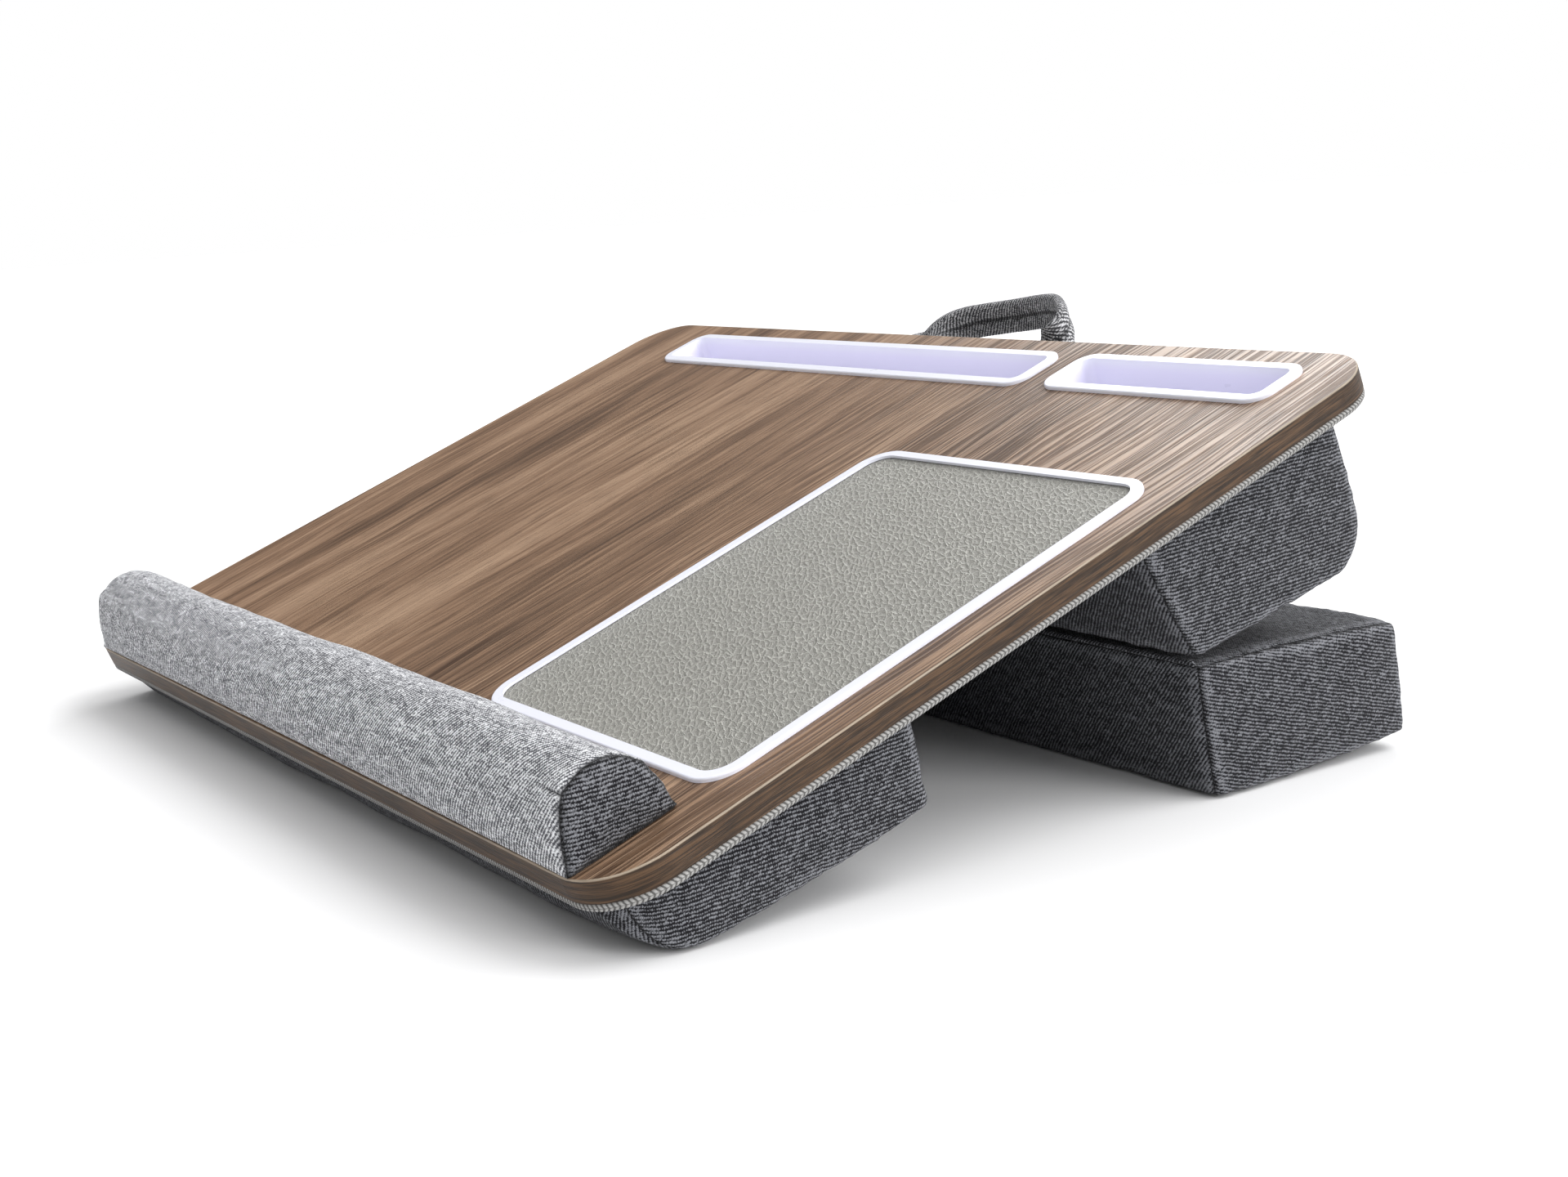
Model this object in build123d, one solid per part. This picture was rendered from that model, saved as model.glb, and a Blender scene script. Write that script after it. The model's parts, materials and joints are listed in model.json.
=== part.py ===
from build123d import *
import math
import os

# Lap tray with cushion: a wood-grain board with a padded wrist rest along its front edge, a
# framed mouse pad, two plastic trays and a fabric handle. Under it sit a front and a rear
# foam cushion, and a third cushion hinged by its fabric to the rear one, which swings out
# under it to prop the board up or folds away into the bay between the other two.
# Lengths are in millimetres. The board's own frame has X along its width from the middle,
# Y from its front edge to the back and Z up from its top face. The finished tray stands on
# the floor plane, tilted, with its origin under the middle of its box.

# Board
board_width = 560.0
board_depth = 395.0
board_corner_radius = 28.0
core_thickness = 9.0
laminate_thickness = 0.6
edge_band_thickness = 0.6
edge_break = 0.35
cover_sheet_thickness = 1.2
tilt_angle = 20.3

# Piping round the lower edge
piping_diameter = 3.8
piping_sides = 12
piping_gap = 0.1

# Trays, measured over their rims
long_tray_left_margin = 61.5
short_tray_width = 136.0
short_tray_right_margin = 27.0
tray_spacing = 14.5
tray_rim_depth = 34.0
tray_back_margin = 13.7
tray_rim_width = 5.0
tray_rim_height = 1.8
tray_corner_radius = 10.0
tray_cavity_depth = 14.0
tray_wall = 1.2
tray_floor_thickness = 1.2
tray_draft = 1.0
tray_floor_chamfer = 1.0
rim_fillet = 0.8
fit_gap = 0.3

# Mouse pad and its frame
pad_frame_width = 178.0
pad_frame_depth = 222.0
pad_frame_right_margin = 17.5
pad_frame_front_margin = 58.0
pad_frame_corner_radius = 15.0
pad_frame_rim_width = 5.0
pad_frame_rim_height = 1.8
pad_frame_flange = 2.5
pad_lip = 1.5
pad_recess_depth = 3.0
pad_leather_thickness = 1.2
pad_surface_rise = 0.3

# Fabric, foam and seams
fabric_thickness = 1.5
foam_gap = 0.3
draw_in = 0.8
end_panel_depth = 2.4
end_panel_taper = 3.0
end_panel_shoulder_share = 0.6
end_panel_shoulder_taper = 0.7
contact_flat = 0.5

# Wrist rest, as its end seam shows it
wrist_rest_side_margin = 20.0
wrist_rest_depth = 46.0
wrist_rest_front_height = 27.2
wrist_rest_front_lean = 9.4
wrist_rest_back_height = 22.0
wrist_rest_back_lean = 4.4
wrist_rest_front_inset = 0.3
wrist_rest_top_bulge = 8.0
wrist_rest_front_bulge = 3.0
wrist_rest_back_bulge = 1.3
tape_thickness = 0.5
tape_margin = 7.0

# Front and rear cushions, measured along their end seams
cushion_side_margin = 8.5
front_cushion_front = 5.0
front_cushion_nose_depth = 20.0
front_cushion_nose_height = 30.6
front_cushion_nose_bulge = 8.2
front_cushion_back_height = 38.2
front_cushion_back_bottom = 130.3
front_cushion_back_top = 136.6
front_cushion_bottom_bulge = 4.0
front_cushion_corner_radius = 22.0
rear_cushion_front = 252.5
rear_cushion_back_margin = 28.5
rear_cushion_drop = 7.6
rear_round_depth = 16.5
rear_round_height = 23.5
rear_round_bulge = 5.0
rear_cushion_bottom_bulge = 1.6
mating_bulge = 0.8

# Fabric hinge between the rear and the folding cushion
hinge_from_front = 262.0
hinge_below_cover = 57.2
hinge_seam_diameter = 2.4
hinge_setback = 1.1

# Folding cushion, measured from the hinge as it stands on the floor
folding_lean = 9.5
folding_bottom_depth = 111.5
folding_top_depth = 114.5
folding_back_rise = 6.5
folding_top_drop = 1.5
folding_bottom_bulge = 4.2
folding_top_bulge = 2.4
folding_back_bulge = 1.4

# Hook and loop strips that hold the folding cushion in its bay
strip_length = 90.0
strip_width = 20.0
strip_thickness = 1.1
strip_from_middle = 170.0
strip_back_margin = 25.0
hook_strip_from_front = 165.0

# Handle
handle_root_from_middle = 52.0
handle_root_gap = 5.2
handle_root_drop = 5.3
handle_root_width = 26.0
handle_root_thickness = 3.2
handle_fold_depth = 1.9
handle_band_width = 18.0
handle_band_thickness = 5.0
handle_edge_share = 0.3
handle_reach = 39.0
handle_swell = 13.0
handle_rise = 13.0
handle_sections = 12
handle_flat_share = 0.07
handle_twist_share = 3.8
handle_root_pull_share = 0.5
handle_tab_depth = 13.0
handle_tab_thickness = 2.0
handle_clearance = 0.5

# Overrun of cutting tools past the faces they cut
overrun = 5.0

# Levels in the board's frame
core_top = -laminate_thickness
core_bottom = core_top - core_thickness
cover_bottom = core_bottom - cover_sheet_thickness

# What the board's width and depth leave for the wrist rest, the cushions and the long tray
wrist_rest_length = board_width - 2 * wrist_rest_side_margin
cushion_length = board_width - 2 * cushion_side_margin
rear_cushion_back = board_depth - rear_cushion_back_margin
trays_span = board_width - long_tray_left_margin - short_tray_right_margin
long_tray_width = trays_span - tray_spacing - short_tray_width


def rounded_plate(width, depth, radius, bottom, top, centre=(0, 0)):
    """A flat plate with rounded corners between two levels."""
    outline = RectangleRounded(width, depth, radius)
    return Pos(centre[0], centre[1], bottom) * extrude(outline, amount=top - bottom)


def board_plate(inset, bottom, top):
    """A plate that follows the board's outline, drawn in by inset."""
    return rounded_plate(
        board_width - 2 * inset,
        board_depth - 2 * inset,
        board_corner_radius - inset,
        bottom,
        top,
        centre=(0, board_depth / 2),
    )


def unit(start, end):
    """Direction from one point to another, as a pair."""
    length = math.hypot(end[0] - start[0], end[1] - start[1])
    return (end[0] - start[0]) / length, (end[1] - start[1]) / length


def inset_corners(corners, depths):
    """Corners of a closed outline whose side k, from corner k on, moves inwards by depths[k]."""
    count = len(corners)
    moved = []
    for k, (y, z) in enumerate(corners):
        before = unit(corners[k - 1], corners[k])
        after = unit(corners[k], corners[(k + 1) % count])
        cross = before[0] * after[1] - before[1] * after[0]
        first, second = depths[k - 1], depths[k]
        moved.append(
            (
                y + (first * after[0] - second * before[0]) / cross,
                z + (first * after[1] - second * before[1]) / cross,
            )
        )
    return moved


def cross_section(corners, bulges, x):
    """Face across a cushion at x. Side k runs from corner k to the next and bows out."""
    sides = []
    for k, bulge in enumerate(bulges):
        start, end = corners[k], corners[(k + 1) % len(corners)]
        along = unit(start, end)
        first, last = (x, *start), (x, *end)
        if bulge:
            middle = (
                x,
                (start[0] + end[0]) / 2 + bulge * along[1],
                (start[1] + end[1]) / 2 - bulge * along[0],
            )
            sides.append(ThreePointArc(first, middle, last))
        else:
            sides.append(Line(first, last))
    return make_face(sides)


# Stations along a cushion's half length, and how full its sides are at its end seams
station_shares = (-1, -0.75, -0.4, 0, 0.4, 0.75, 1)
end_fullness_share = 0.55


def fullness(bulges, ease, round_side):
    """Bulges of a section, from full at ease 1 to slacker at an end seam, at ease 0.

    The side that rounds off a corner keeps its bulge over the whole length.
    """
    share = end_fullness_share + (1 - end_fullness_share) * ease
    return [bulge if k == round_side else bulge * share for k, bulge in enumerate(bulges)]


def cushion_body(corners, bulges, half_length, depth=0.0, round_side=None):
    """Crowned body between the end seams. Its seams draw in towards the middle of its length.

    depth moves the whole surface inwards. A side without a bulge is sewn flat to the board's
    cover, so it neither draws in nor moves.
    """
    sections = []
    for share in station_shares:
        ease = 1 - share**2
        depths = [depth + draw_in * ease if bulge else 0 for bulge in bulges]
        section_bulges = fullness(bulges, ease, round_side)
        moved = inset_corners(corners, depths)
        sections.append(cross_section(moved, section_bulges, share * half_length))
    return loft(sections, ruled=True)


def end_panel(corners, bulges, half_length, side, round_side=None):
    """Sewn end panel, slightly domed, outside the end seam on one side (-1 left, 1 right)."""
    end_bulges = fullness(bulges, 0, round_side)
    steps = (
        (0, 0),
        (end_panel_depth * end_panel_shoulder_share, end_panel_shoulder_taper),
        (end_panel_depth, end_panel_taper),
    )
    sections = []
    for distance, taper in steps:
        depths = [taper if bulge else 0 for bulge in bulges]
        moved = inset_corners(corners, depths)
        sections.append(cross_section(moved, end_bulges, side * (half_length + distance)))
    return loft(sections, ruled=True)


def cushion_pieces(corners, bulges, length, round_side=None):
    """Wrap, left end, right end and foam core of a cushion."""
    half_length = length / 2
    body = cushion_body(corners, bulges, half_length, 0, round_side)
    hollow = cushion_body(corners, bulges, half_length, fabric_thickness, round_side)
    foam = cushion_body(
        corners, bulges, half_length - foam_gap, fabric_thickness + foam_gap, round_side
    )
    left = end_panel(corners, bulges, half_length, -1, round_side)
    right = end_panel(corners, bulges, half_length, 1, round_side)
    return body - hollow, left, right, foam


# Outlines of the trays and the mouse pad in plan
tray_y = board_depth - tray_back_margin - tray_rim_depth / 2
long_tray_x = -board_width / 2 + long_tray_left_margin + long_tray_width / 2
short_tray_x = board_width / 2 - short_tray_right_margin - short_tray_width / 2
tray_places = {
    "long_tray": (long_tray_width, (long_tray_x, tray_y)),
    "short_tray": (short_tray_width, (short_tray_x, tray_y)),
}
well_depth = tray_rim_depth - 2 * tray_rim_width + 2 * tray_wall
well_radius = tray_corner_radius - tray_rim_width + tray_wall
tray_bottom = tray_rim_height - tray_cavity_depth - tray_floor_thickness
pad_x = board_width / 2 - pad_frame_right_margin - pad_frame_width / 2
pad_centre = (pad_x, pad_frame_front_margin + pad_frame_depth / 2)
pad_recess_floor = -pad_recess_depth
pad_neck_width = pad_frame_width - 2 * pad_frame_flange
pad_neck_depth = pad_frame_depth - 2 * pad_frame_flange
pad_neck_radius = pad_frame_corner_radius - pad_frame_flange


def tray_well_width(rim_width):
    """Outer width of the well that hangs below a tray's rim."""
    return rim_width - 2 * tray_rim_width + 2 * tray_wall


def tray_openings(bottom, top):
    """Cutters for the slots that the two tray wells drop through."""
    cutters = []
    for rim_width, centre in tray_places.values():
        cutters.append(
            rounded_plate(
                tray_well_width(rim_width) + 2 * fit_gap,
                well_depth + 2 * fit_gap,
                well_radius + fit_gap,
                bottom,
                top,
                centre,
            )
        )
    return cutters


def pad_recess(bottom, top):
    """Cutter for the recess that the mouse pad's frame drops into."""
    return rounded_plate(
        pad_neck_width + 2 * fit_gap,
        pad_neck_depth + 2 * fit_gap,
        pad_neck_radius + fit_gap,
        bottom,
        top,
        pad_centre,
    )


def top_board():
    """Board core with the tray slots cut through and the mouse pad's recess."""
    core = board_plate(edge_band_thickness, core_bottom, core_top)
    for cutter in tray_openings(core_bottom - overrun, core_top + overrun):
        core -= cutter
    return core - pad_recess(pad_recess_floor, core_top + overrun)


def wood_laminate():
    """Thin decorative sheet on the core, with the same cut-outs."""
    sheet = board_plate(edge_band_thickness, core_top, 0)
    for cutter in tray_openings(core_top - overrun, overrun):
        sheet -= cutter
    return sheet - pad_recess(core_top - overrun, overrun)


def edge_band():
    """Strip bonded round the board's edge, its top arris just broken."""
    band = board_plate(0, core_bottom, 0)
    band = chamfer(band.faces().sort_by(Axis.Z)[-1].edges(), edge_break)
    return band - board_plate(edge_band_thickness, core_bottom - overrun, overrun)


def underside_cover():
    """Fabric sheet glued under the core, inside the piping."""
    sheet = board_plate(piping_diameter + piping_gap, cover_bottom, core_bottom)
    for cutter in tray_openings(cover_bottom - overrun, core_bottom + overrun):
        sheet -= cutter
    return sheet


def edge_piping():
    """Piping, a bead of many flat sides, that runs all round under the board's edge."""
    radius = piping_diameter / 2
    outline = RectangleRounded(
        board_width - piping_diameter,
        board_depth - piping_diameter,
        board_corner_radius - radius,
    )
    path = (Pos(0, board_depth / 2, core_bottom - radius) * outline).wire()
    start = path @ 0
    section = Plane(origin=start, z_dir=path % 0) * RegularPolygon(radius, piping_sides)
    return sweep(section, path=path)


def tray(rim_width, centre):
    """Plastic tray: a rounded rim on the board and a drafted well through its slot."""
    rim = rounded_plate(rim_width, tray_rim_depth, tray_corner_radius, 0, tray_rim_height, centre)
    rim = fillet(rim.faces().sort_by(Axis.Z)[-1].edges(), rim_fillet)
    well_width = tray_well_width(rim_width)
    well = rounded_plate(well_width, well_depth, well_radius, tray_bottom, 0, centre)
    mouth = Pos(centre[0], centre[1], tray_rim_height) * RectangleRounded(
        well_width - 2 * tray_wall, well_depth - 2 * tray_wall, well_radius - tray_wall
    )
    draft_angle = math.degrees(math.atan(tray_draft / tray_cavity_depth))
    cavity = extrude(mouth, amount=-tray_cavity_depth, taper=draft_angle)
    cavity = chamfer(cavity.faces().sort_by(Axis.Z)[0].edges(), tray_floor_chamfer)
    return rim + well - cavity


def mouse_pad_frame():
    """Plastic ring: flange on the board, neck in the recess and a lip over the pad's edge."""
    flange = rounded_plate(
        pad_frame_width,
        pad_frame_depth,
        pad_frame_corner_radius,
        0,
        pad_frame_rim_height,
        pad_centre,
    )
    flange = fillet(flange.faces().sort_by(Axis.Z)[-1].edges(), rim_fillet)
    neck = rounded_plate(
        pad_neck_width, pad_neck_depth, pad_neck_radius, pad_recess_floor, 0, pad_centre
    )
    window = rounded_plate(
        pad_frame_width - 2 * pad_frame_rim_width,
        pad_frame_depth - 2 * pad_frame_rim_width,
        pad_frame_corner_radius - pad_frame_rim_width,
        pad_recess_floor - overrun,
        pad_frame_rim_height + overrun,
        pad_centre,
    )
    return flange + neck - window - mouse_pad_bed(pad_recess_floor - overrun, fit_gap)


def mouse_pad_bed(bottom, gap):
    """Space or layer under the frame's lip, from bottom to the leather's top."""
    inset = pad_frame_rim_width - pad_lip - gap
    return rounded_plate(
        pad_frame_width - 2 * inset,
        pad_frame_depth - 2 * inset,
        pad_frame_corner_radius - inset,
        bottom,
        pad_surface_rise + gap,
        pad_centre,
    )


def mouse_pad_layers():
    """Leather sheet and the stiff backing that it is bonded to."""
    leather_bottom = pad_surface_rise - pad_leather_thickness
    stack = mouse_pad_bed(pad_recess_floor, 0)
    inset = pad_frame_rim_width - pad_lip - overrun
    slab = rounded_plate(
        pad_frame_width - 2 * inset,
        pad_frame_depth - 2 * inset,
        pad_frame_corner_radius - inset,
        leather_bottom,
        pad_surface_rise + overrun,
        pad_centre,
    )
    return stack & slab, stack - slab


def wrist_rest():
    """Wrap, ends and foam of the wrist rest, and the tape that bonds it to the board."""
    corners = [
        (wrist_rest_front_inset, tape_thickness),
        (wrist_rest_front_inset + wrist_rest_depth, tape_thickness),
        (
            wrist_rest_front_inset + wrist_rest_depth - wrist_rest_back_lean,
            tape_thickness + wrist_rest_back_height,
        ),
        (
            wrist_rest_front_inset + wrist_rest_front_lean,
            tape_thickness + wrist_rest_front_height,
        ),
    ]
    bulges = [0, wrist_rest_back_bulge, wrist_rest_top_bulge, wrist_rest_front_bulge]
    half_length = wrist_rest_length / 2 - end_panel_depth
    wrap, left, right, foam = cushion_pieces(corners, bulges, 2 * half_length)
    tape = rounded_plate(
        wrist_rest_length - 2 * tape_margin,
        wrist_rest_depth - 2 * tape_margin,
        tape_margin,
        0,
        tape_thickness,
        centre=(0, wrist_rest_front_inset + wrist_rest_depth / 2),
    )
    return wrap, left, right, foam, tape


def front_cushion():
    """Pieces of the front cushion, rounded in plan at its two front corners."""
    corners = [
        (front_cushion_front, cover_bottom),
        (
            front_cushion_front + front_cushion_nose_depth,
            cover_bottom - front_cushion_nose_height,
        ),
        (front_cushion_back_bottom, cover_bottom - front_cushion_back_height),
        (front_cushion_back_top, cover_bottom),
    ]
    bulges = [front_cushion_nose_bulge, front_cushion_bottom_bulge, mating_bulge, 0]
    wrap, left, right, foam = cushion_pieces(corners, bulges, cushion_length)

    def plan_limit(inset):
        reach = front_cushion_back_top + 2 * front_cushion_corner_radius
        front = front_cushion_front + inset
        return rounded_plate(
            cushion_length + 2 * end_panel_depth - 2 * inset,
            reach - front,
            front_cushion_corner_radius - inset,
            cover_bottom - board_depth,
            cover_bottom,
            centre=(0, (front + reach) / 2),
        )

    outside = plan_limit(0)
    inside = plan_limit(end_panel_depth + fabric_thickness + foam_gap)
    return wrap & outside, left & outside, right & outside, foam & inside


def rear_cushion():
    """Pieces of the rear cushion, cleared where the tray wells reach into it."""
    corners = [
        (rear_cushion_front, cover_bottom),
        (hinge[0] + hinge_setback, hinge[1] + hinge_setback),
        (rear_cushion_back - rear_round_depth, hinge[1] - rear_cushion_drop),
        (rear_cushion_back, hinge[1] - rear_cushion_drop + rear_round_height),
        (rear_cushion_back, cover_bottom),
    ]
    bulges = [
        mating_bulge,
        rear_cushion_bottom_bulge,
        rear_round_bulge,
        mating_bulge,
        0,
    ]
    # The side from corner 2 on rounds off the lower back corner
    wrap, left, right, foam = cushion_pieces(corners, bulges, cushion_length, round_side=2)
    for cutter in tray_openings(tray_bottom - fit_gap, overrun):
        wrap -= cutter
        foam -= cutter
    return wrap, left, right, foam


def hinge_seam():
    """Sewn welt that joins the rear and the folding cushion and that the latter turns on."""
    bar = Cylinder(hinge_seam_diameter / 2, cushion_length, rotation=(0, 90, 0))
    return Pos(0, hinge[0], hinge[1]) * bar


def folding_cushion(hinge_on_floor):
    """Pieces of the folding cushion, drawn as it stands on the floor, and its loop strips."""
    y, z = hinge_on_floor
    # The bottom seams hang so low that the bottom's fullest line is cut flat on the floor
    belly = (4 * folding_bottom_bulge - folding_back_rise) ** 2 / (16 * folding_bottom_bulge)
    front_lift = belly - draw_in - contact_flat
    front_bottom = (y + folding_lean, front_lift)
    back_bottom = (front_bottom[0] + folding_bottom_depth, front_lift + folding_back_rise)
    corners = [
        (y + hinge_setback, z - hinge_setback),
        front_bottom,
        back_bottom,
        (y + folding_top_depth, z - folding_top_drop),
    ]
    bulges = [mating_bulge, folding_bottom_bulge, folding_back_bulge, folding_top_bulge]
    pieces = cushion_pieces(corners, bulges, cushion_length)
    half_length = cushion_length / 2
    raised = cushion_body(corners, bulges, half_length, depth=-strip_thickness)
    body = cushion_body(corners, bulges, half_length)
    strips = []
    strip_y = back_bottom[0] - strip_back_margin - strip_width / 2
    for side in (-1, 1):
        window = Pos(side * strip_from_middle, strip_y, 0) * Box(
            strip_length, strip_width, 2 * (back_bottom[1] + folding_bottom_bulge)
        )
        strips.append(raised & window - body)
    return pieces, strips


def hook_strips():
    """Hook strips under the board's cover, where the folded cushion's loop strips arrive."""
    strips = []
    for side in (-1, 1):
        strip = rounded_plate(
            strip_length,
            strip_width,
            strip_thickness,
            cover_bottom - strip_thickness,
            cover_bottom,
            centre=(side * strip_from_middle, hook_strip_from_front + strip_width / 2),
        )
        strips.append(strip)
    return strips


def strap_ring(origin, tangent, twist, thickness_share=1):
    """Eight points round the strap, which lies flat at twist 0 and stands on edge at twist 1."""
    width = handle_root_width + (handle_band_width - handle_root_width) * twist
    thickness = handle_root_thickness + (handle_band_thickness - handle_root_thickness) * twist
    thickness *= thickness_share
    across = Vector(0, 0, 1).cross(tangent).normalized()
    upright = tangent.cross(across)
    turned = twist * math.pi / 2
    x_dir = across * math.cos(turned) + upright * math.sin(turned)
    section = Plane(origin=origin, x_dir=x_dir, z_dir=tangent)
    wide, deep = width / 2, thickness / 2
    slope = thickness * handle_edge_share
    quarter = [(wide, deep - slope), (wide - slope, deep)]
    half = quarter + [(-x, y) for x, y in reversed(quarter)]
    outline = half + [(-x, -y) for x, y in half]
    return [section.from_local_coords(Vector(x, y, 0)) for x, y in outline]


def flat_sided(rings):
    """Solid whose flat three-cornered sides join each ring of points to the next."""
    sides = [Face(Wire.make_polygon(rings[0])), Face(Wire.make_polygon(rings[-1]))]
    for ring, following in zip(rings, rings[1:]):
        for k in range(len(ring)):
            beside = k - 1
            sides.append(Face(Wire.make_polygon([ring[beside], ring[k], following[k]])))
            sides.append(Face(Wire.make_polygon([ring[beside], following[k], following[beside]])))
    return Solid(Shell(sides))


def handle_strap():
    """Padded strap loop: folded flat where it is sewn in, twisting until its band stands up."""
    root_y, root_z = handle_root
    middle = handle_root_from_middle
    # From the right root round to the left one: outward swell, reach and rise, as shares
    loop_shares = (
        (0.75, 0.40, 0.75),
        (-0.9, 0.84, 0.9),
        (-4.0, 1.0, 0.45),
        (-7.1, 0.84, 0.2),
        (-8.75, 0.4, 0.1),
    )
    points = [Vector(middle, root_y, root_z)]
    for swell, reach, rise in loop_shares:
        points.append(
            Vector(
                middle + handle_swell * swell,
                root_y + handle_reach * reach,
                root_z + handle_rise * rise,
            )
        )
    points.append(Vector(-middle, root_y, root_z))
    outwards, inwards = Vector(0, 1, 0), Vector(0, -1, 0)
    path = Spline(
        points,
        tangents=[outwards, inwards],
        tangent_scalars=[handle_root_pull_share, handle_root_pull_share],
    )
    # The fold behind each root thins towards its end: depth share, thickness share
    fold_shares = ((1, 0.5), (0.7, 0.86))
    right_fold, left_fold = [], []
    for depth_share, thickness_share in fold_shares:
        fold_y = root_y - handle_fold_depth * depth_share
        right_end, left_end = Vector(middle, fold_y, root_z), Vector(-middle, fold_y, root_z)
        right_fold.append(strap_ring(right_end, outwards, 0, thickness_share))
        left_fold.insert(0, strap_ring(left_end, inwards, 0, thickness_share))
    rings = []
    for k in range(handle_sections + 1):
        place = k / handle_sections
        from_root = max(0, min(place, 1 - place) - handle_flat_share)
        twist = min(1, handle_twist_share * from_root)
        rings.append(strap_ring(path @ place, path % place, twist))
    return flat_sided(right_fold + rings + left_fold)


def handle_tabs():
    """Sewn ends of the strap: folded flat under the cover and led out below the piping."""
    root_y, root_z = handle_root
    back = root_y - handle_fold_depth - handle_clearance
    piping_front = board_depth - piping_diameter - piping_gap
    front = piping_front - handle_tab_depth
    top = core_bottom - piping_diameter - piping_gap
    bottom = top - handle_tab_thickness
    profile = Polyline(
        (0, front, cover_bottom),
        (0, front, bottom),
        (0, back, bottom),
        (0, back, top),
        (0, piping_front, top),
        (0, piping_front, cover_bottom),
        close=True,
    )
    face = make_face(profile)
    tabs = []
    for side in (-1, 1):
        tab = extrude(face, amount=handle_root_width / 2, dir=(1, 0, 0), both=True)
        tabs.append(Pos(side * handle_root_from_middle, 0, 0) * tab)
    return tabs


# The hinge line and the handle's root in the board's frame, as (y, z)
hinge = (hinge_from_front, cover_bottom - hinge_below_cover)
handle_root = (
    board_depth + handle_root_gap,
    core_bottom - handle_root_drop,
)

# Tilt the board so that its front cushion's lowest fold is cut flat on the floor
front_wrap, front_left, front_right, front_foam = front_cushion()
tilt = Rot(X=tilt_angle)
lowest = (tilt * front_wrap).bounding_box().min.Z
lift = -contact_flat - lowest
standing = Pos(0, 0, lift) * tilt


def on_floor(point):
    """A point (y, z) of the board's frame, as (y, z) above the floor."""
    moved = standing * Pos(0, *point)
    return moved.position.Y, moved.position.Z


hinge_on_floor = on_floor(hinge)
folding_pieces, loop_strips = folding_cushion(hinge_on_floor)
floor_slab = Pos(0, board_depth / 2, -board_depth) * Box(
    2 * board_width, 4 * board_depth, 2 * board_depth
)
rear_wrap, rear_left, rear_right, rear_foam = rear_cushion()
rest_wrap, rest_left, rest_right, rest_foam, rest_tape = wrist_rest()
pad_leather, pad_backing = mouse_pad_layers()

board_pieces = {
    "top_board": top_board(),
    "wood_laminate": wood_laminate(),
    "edge_band": edge_band(),
    "underside_cover": underside_cover(),
    "edge_piping": edge_piping(),
    "mouse_pad_frame": mouse_pad_frame(),
    "mouse_pad_leather": pad_leather,
    "mouse_pad_backing": pad_backing,
    "wrist_rest_cover": rest_wrap,
    "wrist_rest_end_left": rest_left,
    "wrist_rest_end_right": rest_right,
    "wrist_rest_foam": rest_foam,
    "wrist_rest_tape": rest_tape,
    "front_cushion_cover": front_wrap,
    "front_cushion_end_left": front_left,
    "front_cushion_end_right": front_right,
    "front_cushion_foam": front_foam,
    "rear_cushion_cover": rear_wrap,
    "rear_cushion_end_left": rear_left,
    "rear_cushion_end_right": rear_right,
    "rear_cushion_foam": rear_foam,
    "hinge_seam": hinge_seam(),
    "stow_hook_strips": Compound(hook_strips()),
    "handle_tabs": Compound(handle_tabs()),
    "handle_strap": handle_strap(),
}
for name, (rim_width, centre) in tray_places.items():
    board_pieces[name] = tray(rim_width, centre)

placed = {name: standing * piece for name, piece in board_pieces.items()}
placed["folding_cushion_cover"] = folding_pieces[0]
placed["folding_cushion_end_left"] = folding_pieces[1]
placed["folding_cushion_end_right"] = folding_pieces[2]
placed["folding_cushion_foam"] = folding_pieces[3]
placed["stow_loop_strips"] = Compound(loop_strips)
for name in ("front_cushion_cover", "front_cushion_end_left", "front_cushion_end_right"):
    placed[name] = placed[name] - floor_slab
for name in ("folding_cushion_cover", "folding_cushion_end_left", "folding_cushion_end_right"):
    placed[name] = placed[name] - floor_slab

# Put the origin under the middle of the whole tray's box
boxes = [piece.bounding_box() for piece in placed.values()]
middle_y = (min(box.min.Y for box in boxes) + max(box.max.Y for box in boxes)) / 2
finished = {name: Pos(0, -middle_y, 0) * piece for name, piece in placed.items()}

os.makedirs("parts", exist_ok=True)
for name, piece in finished.items():
    export_step(piece, f"parts/{name}.step")
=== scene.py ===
"""Looks of a lap tray with cushion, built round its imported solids.

Crowned fabric cushions with puckered seams, a woven bead along the board's edge, a padded strap
handle, wood-grain laminate, grained leather and glossy plastic. Everything is in metres.
"""

import json
import math
from bisect import bisect_right
from collections import namedtuple

import bmesh
import bpy
from bpy.props import FloatProperty, FloatVectorProperty, IntProperty, PointerProperty
from mathutils import Matrix, Vector, noise
from mathutils.bvhtree import BVHTree


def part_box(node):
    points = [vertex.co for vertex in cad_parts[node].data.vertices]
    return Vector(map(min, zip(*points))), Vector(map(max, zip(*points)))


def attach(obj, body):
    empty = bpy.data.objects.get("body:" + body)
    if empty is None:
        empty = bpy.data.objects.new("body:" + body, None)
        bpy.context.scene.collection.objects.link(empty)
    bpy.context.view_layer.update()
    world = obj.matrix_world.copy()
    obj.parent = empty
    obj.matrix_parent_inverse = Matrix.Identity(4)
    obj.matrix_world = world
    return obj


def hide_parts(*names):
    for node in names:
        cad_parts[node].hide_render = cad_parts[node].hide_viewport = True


bl_info = {
    "name": "Lap Tray with Cushion",
    "version": (1, 0, 0),
    "blender": (4, 5, 0),
    "location": "View3D > Sidebar > Lap Tray",
    "description": "Dresses the packed lap tray with its fabric, wood, leather and plastic",
    "category": "Add Mesh",
}

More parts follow.
